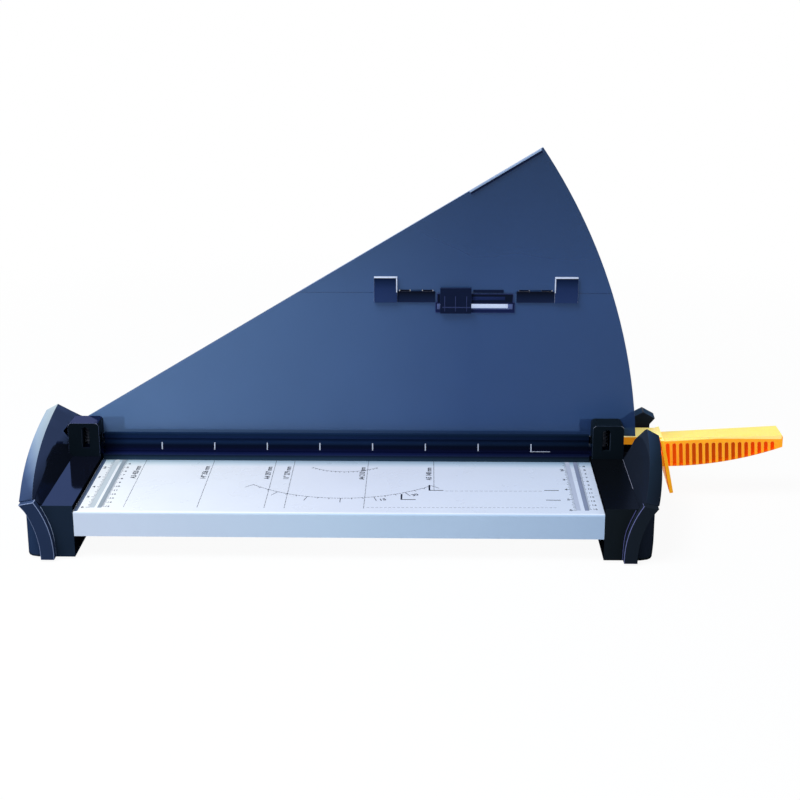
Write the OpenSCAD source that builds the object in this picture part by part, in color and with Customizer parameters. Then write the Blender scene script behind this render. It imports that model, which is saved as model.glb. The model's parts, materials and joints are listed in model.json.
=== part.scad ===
// Guillotine paper cutter with a folding guard, a sprung clamp bar and a pivoting blade arm

/* [Bed] */
// Width of the bed between the end blocks
bed_w = 461; // [400:1:520]
// Depth of the bed from its front face to the fixed blade
bed_depth = 156; // [150:1:160]
// Height of the bed's top above the table
bed_top = 44; // [42:0.5:48]
// Height of the bed's front face
bed_face_h = 23; // [20:0.5:26]
// Thickness of the bed's sheet
bed_sheet = 1.6; // [1.2:0.1:2.4]
// Depth of the folded lip under the front face
bed_lip = 8; // [5:0.5:14]
// Outer radius of the bed's front bend
bed_bend = 2.2; // [2:0.1:3]

/* [Rails under the bed] */
// Width of each rail, front to back
rail_w = 26; // [20:1:34]
// Height of each rail
rail_h = 12; // [9:0.5:14]
// Sheet thickness of the rails
rail_sheet = 2; // [1.6:0.1:2.6]
// Middle of the front rail, from the bed's front face
front_rail_y = 42; // [36:1:50]
// Middle of the rear rail, from the bed's front face
rear_rail_y = 112; // [100:1:118]

/* [Fixed blade] */
// Thickness of the fixed blade
ledger_t = 3.8; // [3:0.1:4.6]
// Height of the fixed blade
ledger_h = 18; // [15:0.5:22]
// Shear gap between the two blades
shear_gap = 0.2; // [0.1:0.05:0.4]

/* [End blocks] */
// Width of each end block between the bed and the outer shell
block_w = 29.6; // [28:0.2:34]
// Depth of the end blocks, front to back
block_d = 250; // [244:1:262]
// Height of the end blocks' flat top above the bed
block_rise = 5.2; // [3:0.2:8]
// Wall of the end blocks
block_wall = 3; // [2.4:0.1:3.6]
// Reach of the ledges that carry the rails
ledge_reach = 18; // [14:1:24]
// Thickness of the ledges
ledge_t = 5; // [4:0.5:6]
// Thickness of the base covers
cover_t = 2; // [1.6:0.1:3]
// How far the feet stand out under the covers
foot_drop = 1.5; // [1:0.1:2.5]
// Radius of the feet
foot_r = 8; // [6:0.5:10]

/* [Outer shells] */
// Ridge distance outside the block's outer wall, at the front
ridge_out = 4.9; // [4:0.1:6]
// Bow of the ridge from the front to its peak
ridge_bow = 21; // [16:0.5:24]
// Ridge height above the bed at the front
ridge_front_z = 12.6; // [11:0.2:16]
// Ridge height above the bed at its peak
ridge_peak_z = 33.4; // [28:0.2:38]
// Place of the ridge's peak, from the front face
ridge_peak_y = 203; // [198:1:212]
// Ridge height above the bed at the rear
ridge_rear_z = 5.5; // [5.5:0.5:14]
// Width of the sloping band outside the ridge
band_w = 11.6; // [9:0.2:14]
// Fall of the sloping band
band_drop = 6.4; // [5:0.2:8]
// Undercut below the band, inwards
undercut_in = 5; // [3:0.5:6]
// Dip of the ridge at the front face
front_dip = 1.6; // [0:0.2:2]
// Rise of the band's outer edge at the front face
band_lift = 4; // [0:0.2:4.4]
// Distance over which the front's dip and rise fade out
front_fade_d = 25; // [20:1:40]
// Undercut below the band, downwards
undercut_down = 6; // [4:0.5:8]
// Rounding of the shell's front outer corner
shell_round = 9; // [6:0.5:12]
// Wall of the outer shells
shell_wall = 2.4; // [2:0.1:3]
// Thickness of a shell's front wall
shell_front_t = 5; // [4.5:0.5:7]

/* [Front fins] */
// Thickness of the fins, front to back
fin_t = 8; // [6:0.5:10]
// Radius of the fins' sweep
fin_sweep_r = 87; // [80:1:96]
// Inner edge of the fins at the foot, inside the block's outer wall
fin_inset = 12.8; // [10:0.1:14]
// Width of the fins at the foot
fin_foot_w = 11.8; // [9:0.5:13]
// Level below the bed where the inner edge stands upright
fin_inner_drop = 38; // [34:1:42]
// Level below the bed where the outer edge stands upright
fin_outer_drop = 41; // [36:1:44]

/* [Arm slot] */
// Front wall of the slot, from the bed's front face
slot_front_y = 156; // [156:0.5:157]
// Rear wall of the slot
slot_rear_y = 190; // [188:0.5:194]
// Height of the slot's floor at the handle end
slot_floor_z = 28.5; // [26:0.5:30]
// Height of the slot's floor at the pivot end
pivot_floor_z = 14; // [12:0.5:16]
// Height above the bed of the opening for the raised arm
arm_head_room = 21; // [20:0.5:22]
// Play between the arm's round end and the slot's outer wall
pivot_end_play = 0.8; // [0.5:0.1:1.5]

/* [Clamp posts] */
// Width of the posts
post_w = 29; // [27:0.5:30]
// Gap between the bed's edge and the posts
post_inset = 1; // [0.5:0.1:2]
// Front face of the posts, from the bed's front face
post_front_y = 128.5; // [127:0.5:130]
// Height of the posts above the bed
post_rise = 38; // [37:0.5:42]
// Rounding of the posts' top corners
post_round = 4; // [2:0.5:6]
// Place of the slot in each post's front, from the post's inner face
post_slot_in = 9.2; // [8:0.2:11]
// Lower end of that slot, above the bed
post_slot_low = 13.5; // [12:0.5:20]
// Upper end of that slot, above the bed
post_slot_high = 34; // [28:0.5:35]
// Place of the guide rod, from the post's inner face
post_rod_in = 11; // [10:0.5:12]
// Place of the post's screws, from the post's inner face
post_screw_in = 21.4; // [20:0.2:22]
// Width of the slot in each post's front
post_slot_w = 7.3; // [5:0.1:9]
// Thickness of the posts' top
post_cap = 2.5; // [2:0.1:4]

/* [Clamp bar] */
// Front edge of the clamp bar, from the bed's front face
clamp_front_y = 134; // [133:0.5:136]
// Height of the clamp bar above the bed
clamp_h = 23.7; // [22:0.1:26]
// Gap between the resting clamp bar and the bed
clamp_rest_gap = 0.3; // [0.2:0.1:0.5]
// Gap between each end of the clamp bar and its post
clamp_end_gap = 2; // [1:0.1:3]
// Travel of the clamp bar
clamp_travel = 8; // [5:0.5:8]
// Radius of the guide rods
rod_r = 3; // [2.5:0.1:3.5]
// Running clearance of the guide rods
rod_play = 0.06; // [0.03:0.01:0.1]
// Height of the clamp bar's end tongues
tongue_h = 9; // [8:0.5:10]
// Wire radius of the clamp springs
spring_wire_r = 0.5; // [0.4:0.05:0.6]
// Turns in each clamp spring
spring_turns = 6; // [4:1:8]

/* [Guard] */
// Thickness of the guard's panels
guard_t = 3; // [2.4:0.1:3.4]
// Radius of the guard's right edge about the arm's pivot
guard_r = 540; // [538:1:560]
// Slope of the guard's upper edge
guard_slope = 31.07; // [30:0.1:32]
// Distance of the upper edge above the pivot's line
guard_edge_offset = 33.5; // [33:0.5:37]
// Height of the guard's lower edge above the bed
guard_low_z = 20.5; // [20:0.5:24]
// Height of the fold line above the bed
fold_z = 159.3; // [150:0.5:170]
// Gap between the two panels at the fold
fold_gap = 0.3; // [0.2:0.1:0.5]
// Thickness of the grip strip on the upper edge
edge_grip_t = 1.6; // [1:0.1:1.8]
// Width of the grip strip
edge_grip_w = 3.6; // [3.2:0.2:8]
// Length of the grip strip
edge_grip_l = 75; // [60:1:100]

/* [Guard hinges] */
// Left edge of the left clip
clip_left_x = 27; // [24:0.5:30]
// Right edge of the right clip
clip_right_x = 215; // [210:0.5:220]
// Width of each clip
clip_w = 21.4; // [18:0.2:24]
// Height of the clips below the fold line
clip_below = 8.6; // [8:0.2:12]
// Height of the clips above the fold line
clip_above = 15.6; // [12:0.2:18]
// How far the clips stand out of the panel
clip_t = 3.5; // [2.5:0.1:4]
// Length of each hinge leaf
leaf_l = 35; // [30:1:36]
// How far the hinge leaves stand out of the panel
leaf_t = 2; // [1.6:0.1:2.4]
// Radius of the hinge barrels
barrel_r = 2.3; // [2:0.1:2.6]
// Radius of the hinge pins
hinge_pin_r = 1; // [0.8:0.1:1.2]
// Running clearance of the hinge pins
hinge_play = 0.05; // [0.02:0.01:0.1]

/* [Guard latch] */
// Left edge of the latch's frame
latch_left_x = 83.6; // [82:0.2:84]
// Length of the latch's frame
latch_l = 73.4; // [70:0.2:76]
// Height of the latch's frame
latch_h = 9.8; // [9:0.2:12]
// Thickness of the latch's frame
latch_t = 1.5; // [1.2:0.1:2]
// Width of the slider
slider_w = 28.9; // [26:0.1:32]
// Thickness of the slider
slider_t = 3; // [2:0.1:3.5]
// Travel of the slider
slider_travel = 34; // [20:0.5:34]
// Height of the window in the frame
window_h = 4.9; // [4.2:0.1:5]
// Height of the window above the middle of the frame
window_rise = 1; // [0:0.1:1.4]

/* [Blade arm] */
// Height of the arm's pivot above the table
pivot_z = 31; // [30:0.5:32]
// Pivot's distance outside the block's inner wall
pivot_out = 34; // [33:0.5:36]
// Height of the arm's top above the bed
arm_top = 18; // [17:0.2:19]
// Height of the blade's edge below the bed
blade_below = 8; // [6:0.5:10]
// Thickness of the moving blade
blade_t = 2.5; // [2:0.1:3]
// Thickness of the arm's web
web_t = 6; // [4.5:0.1:7]
// Depth of the arm's top flange
flange_d = 16; // [13:0.5:18]
// Thickness of the arm's top flange
flange_t = 4; // [3:0.1:5]
// Radius of the arm's round end
arm_end_r = 12.5; // [12:0.1:13]
// Radius of the pivot bolt
pivot_bolt_r = 5; // [4:0.1:6]
// Wall of the pivot bush
bush_wall = 2.5; // [2:0.1:3]
// Running clearance of the pivot bush
bush_play = 0.05; // [0.02:0.01:0.1]
// Side play between the arm's boss and its washers
boss_play = 0.2; // [0.1:0.05:0.4]
// Thickness of the pivot washers
washer_t = 2; // [1.5:0.1:2.2]

/* [Handle] */
// Start of the handle's block, outside the bed's edge
handle_start = 31.5; // [30:0.5:36]
// Outer end of the handle, outside the bed's edge
handle_end = 184.5; // [170:0.5:200]
// Front face of the handle, from the bed's front face
handle_front_y = 156.8; // [156.6:0.1:158]
// Depth of the handle, front to back
handle_d = 29; // [27:0.5:30]
// Height of the handle's block, down from its top
handle_block_h = 19; // [16:0.5:28]
// Place of the finger guard, outside the bed's edge
finger_guard_out = 68; // [67.5:0.1:72]
// Thickness of the finger guard
finger_guard_t = 3.4; // [3:0.1:5]
// Lean of the finger guard
finger_guard_lean = 12; // [6:0.1:13]
// Reach of the finger guard below the bed
finger_guard_below = 38; // [30:0.5:38]
// Depth of the grip at its inner end
grip_h = 25; // [22:0.5:27]
// Rise of the grip's top along its length
grip_rise = 7; // [3:0.5:8]
// Radius of the grip's underside
grip_under_r = 330; // [300:5:400]
// Number of pockets in the grip
pocket_count = 17; // [10:1:17]
// Distance between two pockets
pocket_pitch = 6.2; // [5.8:0.1:6.3]
// Width of each pocket
pocket_w = 3.6; // [3:0.1:4.2]
// Depth of each pocket
pocket_d = 4.5; // [3:0.5:14]
// Wall above the first pocket
pocket_roof = 2; // [1.6:0.2:4]
// Rise of the pockets' tops to the end of the grip
pocket_rise = 3; // [0:0.5:6]
// Lean of the pockets towards the end of the grip, in degrees
pocket_lean = 4; // [0:1:6]

/* [Rear tie bar] */
// Distance of the tie bar from the blocks' rear faces
tie_rear_gap = 17; // [14:1:20]
// Depth of the tie bar
tie_d = 30; // [24:1:34]
// Height of the tie bar
tie_h = 20; // [16:1:26]
// Height of the tie bar above the table
tie_z = 9; // [8:0.5:14]
// Sheet thickness of the tie bar
tie_sheet = 2; // [1.6:0.1:2.6]

/* [Screws] */
// Radius of the case screws
screw_r = 2; // [1.6:0.1:2.2]
// Radius of the case screws' heads
screw_head_r = 3.8; // [3.4:0.1:4]
// Height of the case screws' heads
screw_head_h = 2.4; // [2:0.1:2.6]
// Wall of the bosses round the screws
boss_wall = 2.4; // [2:0.1:3]

/* [Hidden] */
$fn = 48;

// Overshoot of a cutting shape past the face that it opens
cut = 1;
bed_x = bed_w / 2;
block_in_x = bed_x + 0.2;
block_out_x = block_in_x + block_w;
block_low_z = foot_drop + cover_t;
block_top_z = bed_top + block_rise;
post_in_x = bed_x + post_inset;
post_out_x = post_in_x + post_w;
guard_y = 151.5;
guard_back_y = guard_y + guard_t;
post_top_z = bed_top + post_rise;
ledger_back_y = bed_depth + ledger_t;
blade_y = ledger_back_y + shear_gap;
web_y = blade_y + blade_t;
arm_top_z = bed_top + arm_top;
blade_low_z = bed_top - blade_below;
pivot_x = -(block_in_x + pivot_out);
fold_line_z = bed_top + fold_z;
fold_axis_y = guard_back_y + fold_gap / 2;
shell_foot_x = block_out_x + 0.1;
shell_low_z = block_low_z;
ridge_front_x = block_out_x + ridge_out;
right_slot_y = guard_y - 1;
grip_end_x = bed_x + handle_end;
handle_top_z = arm_top_z - 0.3;

// Origin of the machine at the middle of its underside
low_x = -(ridge_front_x + ridge_bow + band_w);
shift_x = -(low_x + grip_end_x) / 2;
shift_y = -(block_d - fin_t) / 2;

// Height and reach of the shell's ridge at a distance from the front face
function ridge_x(y) = ridge_front_x + ridge_bow * (1 - pow(1 - min(y, ridge_peak_y) / ridge_peak_y, 2));
function front_fade(y) = pow(max(0, 1 - y / front_fade_d), 2);
function ridge_z(y) = bed_top - front_dip * front_fade(y) + (y <= ridge_peak_y
    ? ridge_front_z + (ridge_peak_z - ridge_front_z) * y / ridge_peak_y
    : ridge_peak_z + (ridge_rear_z - ridge_peak_z) * (y - ridge_peak_y) / (block_d - ridge_peak_y));
// Height of the band's outer edge
function band_z(y) = ridge_z(y) - band_drop + band_lift * front_fade(y);
// Reach of the shell's side below the undercut, rounded at the front corner
function corner_in(y, r) = y >= shell_round ? 0 : r - sqrt(pow(r, 2) - pow(shell_round - y, 2));
function side_x(y, inset = 0) =
    ridge_x(y) + band_w - undercut_in - inset - corner_in(y, shell_round - inset);
function knee_z(y) = block_top_z + 0.75 * (ridge_z(y) - block_top_z);
// Outline of the shell across the machine, from the block's edge over the ridge to the foot
function shell_ring(y, low) = [
    [shell_foot_x, low],
    [shell_foot_x, block_top_z],
    [(shell_foot_x + ridge_x(y)) / 2, knee_z(y)],
    [ridge_x(y), ridge_z(y)],
    [ridge_x(y) + band_w, band_z(y)],
    [side_x(y), band_z(y) - undercut_down],
    [side_x(y), low]];
// The same outline drawn in by the shell's wall
function shell_core(y, low) = [
    [shell_foot_x + shell_wall, low],
    [shell_foot_x + shell_wall, block_top_z - shell_wall / 2],
    [(shell_foot_x + ridge_x(y)) / 2 + shell_wall, knee_z(y) - shell_wall],
    [ridge_x(y) + shell_wall / 2, ridge_z(y) - 1.6 * shell_wall],
    [ridge_x(y) + band_w - 2 * shell_wall, band_z(y) - shell_wall],
    [side_x(y, shell_wall), band_z(y) - undercut_down - shell_wall / 2],
    [side_x(y, shell_wall), low]];

// Triangles that close the outline at its ends
shell_cap = [[0, 1, 5], [0, 5, 6], [1, 2, 3], [1, 3, 4], [1, 4, 5]];

// Closed solid through a list of outlines, each at its own distance from the front face
module loft(rings, ys) {
    n = len(rings[0]);
    last = len(rings) - 1;
    polyhedron(
        points = [for (i = [0 : last]) for (p = rings[i]) [p[0], ys[i], p[1]]],
        faces = concat(
            shell_cap,
            [for (i = [0 : last - 1]) for (k = [0 : n - 1]) for (half = [0, 1])
                let (here = i * n + k)
                let (side = i * n + (k + 1) % n)
                half == 0 ? [here, here + n, side + n] : [here, side + n, side]],
            [for (face = shell_cap) [for (k = [2, 1, 0]) last * n + face[k]]]));
}

// Moves a sub-part to the machine's own origin
module placed() {
    translate([shift_x, shift_y, 0])
        children();
}

// Solid whose outline is drawn in the upright plane, from one distance to another
module upright(front_y, thick) {
    translate([0, front_y + thick, 0])
        rotate([90, 0, 0])
            linear_extrude(thick)
                children();
}

// Cylinder along the machine's depth
module rod_y(x, y, z, r, l) {
    translate([x, y + l, z])
        rotate([90, 0, 0])
            cylinder(r = r, h = l);
}

// Cylinder along the machine's width
module rod_x(x, y, z, r, l) {
    translate([x, y, z])
        rotate([0, 90, 0])
            cylinder(r = r, h = l);
}

// Upright screw with its head at the bottom
module screw_up(x, y, z, l) {
    translate([x, y, z]) {
        cylinder(r = screw_head_r, h = screw_head_h);
        cylinder(r = screw_r, h = l);
    }
}

// The same thing at the right end and mirrored at the left end
module both_ends() {
    children();
    mirror([1, 0, 0])
        children();
}

// Places of the screws, feet and bosses
rail_ys = [front_rail_y, rear_rail_y];
rail_screw_x = bed_x - ledge_reach / 2;
rail_low_z = bed_top - bed_sheet - rail_h;
ledge_low_z = rail_low_z - ledge_t;
ledger_screw_xs = [for (i = [-2 : 2]) i * bed_w / 4.6];
ledger_low_z = bed_top - ledger_h;
ledger_screw_z = bed_top - ledger_h / 2;
block_mid_x = (block_in_x + block_out_x) / 2;
rib_t = 2;
rib_ys = [front_rail_y + rail_w / 2 + 10, rear_rail_y - rail_w / 2 - 8];
cover_screw_ys = [16, block_d - 14];
cover_screw_grip = 10;
post_screw_grip = 11;
foot_front_in = 44;
foot_rear_in = 36;
foot_ys = [foot_front_in, block_d - foot_rear_in];
shell_screw_ys = [30, 100];
shell_screw_z = bed_top - 16;
rod_x_pos = post_in_x + post_rod_in;
rod_y_pos = (post_front_y + guard_y) / 2;
rod_low_z = bed_top - 8;
post_screw_x = post_in_x + post_screw_in;
post_screw_ys = [post_front_y + 5, guard_y - 5];
post_core_z = post_top_z - post_cap;
tongue_z = bed_top + 6;
tongue_top_z = tongue_z + tongue_h;
clamp_back_y = guard_y - 1;
guard_screw_xs = [post_in_x + 4, post_out_x - 4];
guard_screw_z = bed_top + guard_low_z + 5.5;
guard_screw_r = 1.5;
guard_head_r = 2.8;
guard_head_h = 1.8;
tie_y = block_d - tie_rear_gap - tie_d;
tie_screw_z = tie_z + tie_h / 2;
tie_screw_ys = [tie_y + 8, tie_y + tie_d - 8];
blade_left_x = -(bed_x - 0.5);
blade_right_x = bed_x - 0.5;
boss_front_y = slot_front_y + washer_t + boss_play;
boss_back_y = slot_rear_y - washer_t - boss_play;
rest_pad_x = block_in_x + 8;
rest_pad_w = 14;
rest_pad_y = web_y - 1;
rest_pad_d = web_t + 2;

module bed_plate() {
    color("lightsteelblue") placed()
        difference() {
            translate([-bed_x, 0, 0])
                rotate([90, 0, 90])
                    linear_extrude(bed_w)
                        bed_profile();
            for (x = ledger_screw_xs)
                rod_y(x, bed_depth - bed_sheet - cut, ledger_screw_z, screw_r, bed_sheet + 2 * cut);
        }
}

// Folded sheet: lip, front face, top and rear flange
module bed_profile() {
    translate([bed_bend, bed_top - bed_sheet])
        square([bed_depth - bed_bend, bed_sheet]);
    translate([0, bed_top - bed_face_h])
        square([bed_sheet, bed_face_h - bed_bend]);
    intersection() {
        difference() {
            translate([bed_bend, bed_top - bed_bend])
                circle(r = bed_bend);
            translate([bed_bend, bed_top - bed_bend])
                circle(r = bed_bend - bed_sheet);
        }
        translate([0, bed_top - bed_bend])
            square(bed_bend);
    }
    translate([0, bed_top - bed_face_h])
        square([bed_lip, bed_sheet]);
    translate([bed_depth - bed_sheet, ledger_low_z])
        square([bed_sheet, ledger_h]);
}

module bed_rails() {
    color("silver") placed()
        for (y = rail_ys)
            difference() {
                translate([-bed_x, y - rail_w / 2, rail_low_z])
                    cube([bed_w, rail_w, rail_h]);
                translate([-bed_x - cut, y - rail_w / 2 + rail_sheet, rail_low_z + rail_sheet])
                    cube([bed_w + 2 * cut, rail_w - 2 * rail_sheet, rail_h]);
                both_ends()
                    translate([rail_screw_x, y, rail_low_z - cut])
                        cylinder(r = screw_r, h = rail_sheet + 2 * cut);
            }
}

module bed_screws() {
    color("dimgray") placed()
        both_ends()
            for (y = rail_ys)
                screw_up(rail_screw_x, y, ledge_low_z - screw_head_h,
                    screw_head_h + ledge_t + rail_sheet + 3);
}

module ledger_blade() {
    color("gainsboro") placed()
        difference() {
            translate([blade_left_x, bed_depth, ledger_low_z])
                cube([blade_right_x - blade_left_x, ledger_t, ledger_h]);
            for (x = ledger_screw_xs)
                rod_y(x, bed_depth - cut, ledger_screw_z, screw_r, cut + ledger_t - 0.8);
        }
}

module ledger_screws() {
    color("dimgray") placed()
        for (x = ledger_screw_xs) {
            rod_y(x, bed_depth - bed_sheet - screw_head_h, ledger_screw_z, screw_head_r, screw_head_h);
            rod_y(x, bed_depth - bed_sheet, ledger_screw_z, screw_r, bed_sheet + ledger_t - 1);
        }
}

// Block at the right end, without the arm's slot
module block_body() {
    difference() {
        translate([block_in_x, 0, block_low_z])
            cube([block_w, block_d, block_top_z - block_low_z]);
        translate([block_in_x + block_wall, block_wall, block_low_z - cut])
            cube([block_w - 2 * block_wall, block_d - 2 * block_wall,
                cut + block_top_z - block_wall - block_low_z]);
    }
    for (y = rib_ys)
        translate([block_in_x, y, block_low_z])
            cube([block_w, rib_t, block_top_z - block_low_z]);
    for (y = rail_ys)
        translate([block_in_x - ledge_reach, y - rail_w / 2 - 2, ledge_low_z])
            cube([ledge_reach + block_wall, rail_w + 4, ledge_t]);
    for (y = cover_screw_ys)
        translate([block_mid_x, y, block_low_z])
            cylinder(r = screw_r + boss_wall, h = block_top_z - block_low_z - block_wall / 2);
    translate([rod_x_pos, rod_y_pos, rod_low_z])
        cylinder(r = rod_r + boss_wall, h = block_top_z - rod_low_z - block_wall / 2);
}

// Holes common to both blocks
module block_holes() {
    for (y = rail_ys)
        translate([rail_screw_x, y, ledge_low_z - cut])
            cylinder(r = screw_r, h = ledge_t + 2 * cut);
    for (y = cover_screw_ys)
        translate([block_mid_x, y, block_low_z - cut])
            cylinder(r = screw_r, h = 12 + cut);
    translate([rod_x_pos, rod_y_pos, rod_low_z - cut])
        cylinder(r = rod_r, h = block_top_z - rod_low_z + 2 * cut);
    for (y = post_screw_ys)
        translate([post_screw_x, y, block_top_z - block_wall - cut])
            cylinder(r = screw_r, h = block_wall + 2 * cut);
    for (y = shell_screw_ys)
        rod_x(block_out_x - block_wall - cut, y, shell_screw_z, screw_r, block_wall + 2 * cut);
    for (y = tie_screw_ys)
        rod_x(block_in_x - cut, y, tie_screw_z, screw_r, block_wall + 2 * cut);
}

// Walls and floor round the arm's slot, inside a block
module slot_walls(floor_z) {
    translate([block_in_x, slot_front_y - block_wall, block_low_z])
        cube([block_w, block_wall, block_top_z - block_low_z]);
    translate([block_in_x, slot_rear_y, block_low_z])
        cube([block_w, block_wall, block_top_z - block_low_z]);
    translate([block_in_x, slot_front_y - cut / 2, floor_z - block_wall])
        cube([block_w, slot_rear_y - slot_front_y + cut, block_wall]);
}

// The arm's slot through a block and its shell, up to a reach outside the bed
module slot_cut(floor_z, reach, top_z) {
    translate([block_in_x - cut, slot_front_y, floor_z])
        cube([reach - block_in_x + cut, slot_rear_y - slot_front_y, top_z - floor_z]);
}

module left_end_block() {
    color("darkslateblue") placed()
        mirror([1, 0, 0])
            difference() {
                union() {
                    block_body();
                    slot_walls(pivot_floor_z);
                }
                block_holes();
                slot_cut(pivot_floor_z, block_out_x + cut, block_top_z + cut);
                pivot_room();
            }
}

module right_end_block() {
    color("darkslateblue") placed()
        difference() {
            union() {
                block_body();
                slot_walls(slot_floor_z);
            }
            block_holes();
            slot_cut(slot_floor_z, block_out_x + cut, block_top_z + cut);
        }
}

// Stations of the shells' loft
step_n = 5;
shell_front_ys = concat([0, 2, 5, shell_round], [for (y = [17 : 9 : 143]) y]);
slot_ys = [for (i = [1 : step_n]) guard_y + (slot_rear_y - guard_y) * i / step_n];
rear_ys = [for (i = [0 : step_n]) ridge_peak_y + (block_d - ridge_peak_y) * i / step_n];
right_front_ys = concat(shell_front_ys, [right_slot_y]);
right_rear_ys = concat([right_slot_y], slot_ys, rear_ys);
all_ys = concat(shell_front_ys, [guard_y], slot_ys, rear_ys);

// Outer form of a shell through a list of distances from the front face
module shell_form(ys) {
    loft([for (y = ys) shell_ring(y, shell_low_z)], ys);
}

// Hollow of a shell, a wall short of its first and last distances
module shell_hollow(ys, front_t) {
    low = ys[0] + front_t;
    high = ys[len(ys) - 1] - shell_wall;
    core_ys = concat([low], [for (y = ys) if (y > low + 1.5 && y < high - 1.5) y], [high]);
    loft([for (y = core_ys) shell_core(y, shell_low_z - cut)], core_ys);
}

// Boss for a shell screw, on the shell's inner wall
module shell_bosses() {
    for (y = shell_screw_ys)
        rod_x(shell_foot_x, y, shell_screw_z, screw_r + boss_wall, 8);
}

module shell_screw_holes() {
    for (y = shell_screw_ys)
        rod_x(shell_foot_x - cut, y, shell_screw_z, screw_r, 7 + cut);
}

module left_end_shell() {
    color("slategray") placed()
        mirror([1, 0, 0])
            difference() {
                union() {
                    difference() {
                        shell_form(all_ys);
                        shell_hollow(all_ys, shell_front_t);
                    }
                    shell_bosses();
                    pivot_wall();
                }
                shell_screw_holes();
                slot_cut(pivot_floor_z, -pivot_x + arm_end_r + pivot_end_play,
                    bed_top + arm_head_room);
                pivot_room();
            }
}

// Holes for the pivot bolt, its head and its nut
module pivot_room() {
    back_y = slot_rear_y + pivot_wall_t;
    rod_y(-pivot_x, slot_front_y - pivot_wall_t - cut, pivot_z, pivot_bolt_r + bolt_play,
        back_y - slot_front_y + pivot_wall_t + 2 * cut);
    for (y = [slot_front_y - pivot_wall_t - 8, back_y])
        rod_y(-pivot_x, y, pivot_z, 9.5, 8);
}

// Walls that carry the pivot bolt, in front of the slot and behind it
pivot_wall_t = 5;
bolt_play = 0.1;
module pivot_wall() {
    for (y = [slot_front_y - pivot_wall_t, slot_rear_y])
        translate([shell_foot_x, y, shell_low_z])
            cube([-pivot_x + arm_end_r + pivot_end_play + shell_wall - shell_foot_x, pivot_wall_t,
                block_top_z - shell_low_z]);
    translate([-pivot_x + arm_end_r + pivot_end_play, slot_front_y - cut, shell_low_z])
        cube([shell_wall, slot_rear_y - slot_front_y + 2 * cut, block_top_z - shell_low_z]);
    translate([shell_foot_x, slot_front_y - cut, pivot_floor_z - shell_wall])
        cube([-pivot_x + arm_end_r + pivot_end_play - shell_foot_x + cut,
            slot_rear_y - slot_front_y + 2 * cut, shell_wall]);
}

module right_end_shell() {
    color("slategray") placed()
        difference() {
            union() {
                difference() {
                    shell_form(right_front_ys);
                    difference() {
                        shell_hollow(right_front_ys, shell_front_t);
                        shell_corner_cut(shell_wall);
                    }
                }
                shell_bosses();
            }
            shell_screw_holes();
            shell_corner_cut(0);
        }
}

// Slanted corner of the shell beside the post, above the block's top
corner_cut_d = 23;
module shell_corner_cut(grow) {
    translate([0, 0, block_top_z - grow])
        linear_extrude(bed_top)
            offset(delta = grow)
                polygon([[shell_foot_x - cut, right_slot_y - corner_cut_d - cut],
                    [ridge_x(right_slot_y) - cut, right_slot_y + cut],
                    [shell_foot_x - cut, right_slot_y + cut]]);
}

module right_rear_shell() {
    color("slategray") placed()
        difference() {
            shell_form(right_rear_ys);
            difference() {
                shell_hollow(right_rear_ys, shell_wall);
                translate([shell_foot_x, right_slot_y, slot_floor_z - shell_wall])
                    cube([bed_w, slot_rear_y + shell_wall - right_slot_y, bed_w]);
            }
            translate([shell_foot_x - cut, right_slot_y - cut, slot_floor_z])
                cube([bed_w, slot_rear_y - right_slot_y + cut, bed_w]);
        }
}

// Curved ribbon that carries the shell's band down to the foot
function sweep(centre_x, tangent_z, top_z, low_z) = concat(
    [[centre_x - fin_sweep_r, low_z]],
    [for (i = [0 : 12])
        let (h = (top_z - tangent_z) * i / 12)
        [centre_x - sqrt(pow(fin_sweep_r, 2) - pow(h, 2)), tangent_z + h]]);

fin_inner_x = block_out_x - fin_inset;
module front_fin() {
    inner_centre = fin_inner_x + fin_sweep_r;
    inner = sweep(inner_centre, bed_top - fin_inner_drop, ridge_z(0), foot_drop);
    outer = sweep(inner_centre + fin_foot_w, bed_top - fin_outer_drop, bed_top + 2, foot_drop);
    band_tip = [[ridge_front_x + band_w - 1, band_z(0) - 0.2]];
    upright(-fin_t, fin_t)
        polygon(concat(inner, band_tip, [for (i = [len(outer) - 1 : -1 : 0]) outer[i]]));
}

module left_front_fin() {
    color("darkslateblue") placed()
        mirror([1, 0, 0])
            front_fin();
}

module right_front_fin() {
    color("darkslateblue") placed()
        front_fin();
}

module shell_screws() {
    color("dimgray") placed()
        both_ends()
            for (y = shell_screw_ys) {
                rod_x(block_out_x - block_wall - screw_head_h, y, shell_screw_z,
                    screw_head_r, screw_head_h);
                rod_x(block_out_x - block_wall, y, shell_screw_z, screw_r, block_wall + 6);
            }
}

// Plate under a block and its shell
module base_cover() {
    difference() {
        translate([0, 0, foot_drop])
            linear_extrude(cover_t)
                polygon(concat([[block_in_x, block_d], [block_in_x, 0]],
                    [for (y = all_ys) [side_x(y), y]]));
        for (y = cover_screw_ys)
            translate([block_mid_x, y, foot_drop - cut])
                cylinder(r = screw_r, h = cover_t + 2 * cut);
    }
}

module left_base_cover() {
    color("darkslategray") placed()
        mirror([1, 0, 0])
            base_cover();
}

module right_base_cover() {
    color("darkslategray") placed()
        base_cover();
}

module base_cover_screws() {
    color("dimgray") placed()
        both_ends()
            for (y = cover_screw_ys)
                translate([block_mid_x, y, foot_drop - 1.2]) {
                    cylinder(r = screw_head_r, h = 1.2);
                    cylinder(r = screw_r, h = 1.2 + cover_t + cover_screw_grip);
                }
}

module rubber_feet() {
    color("black") placed()
        both_ends()
            for (y = foot_ys)
                translate([block_mid_x, y, 0])
                    cylinder(r = foot_r, h = foot_drop);
}

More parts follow.
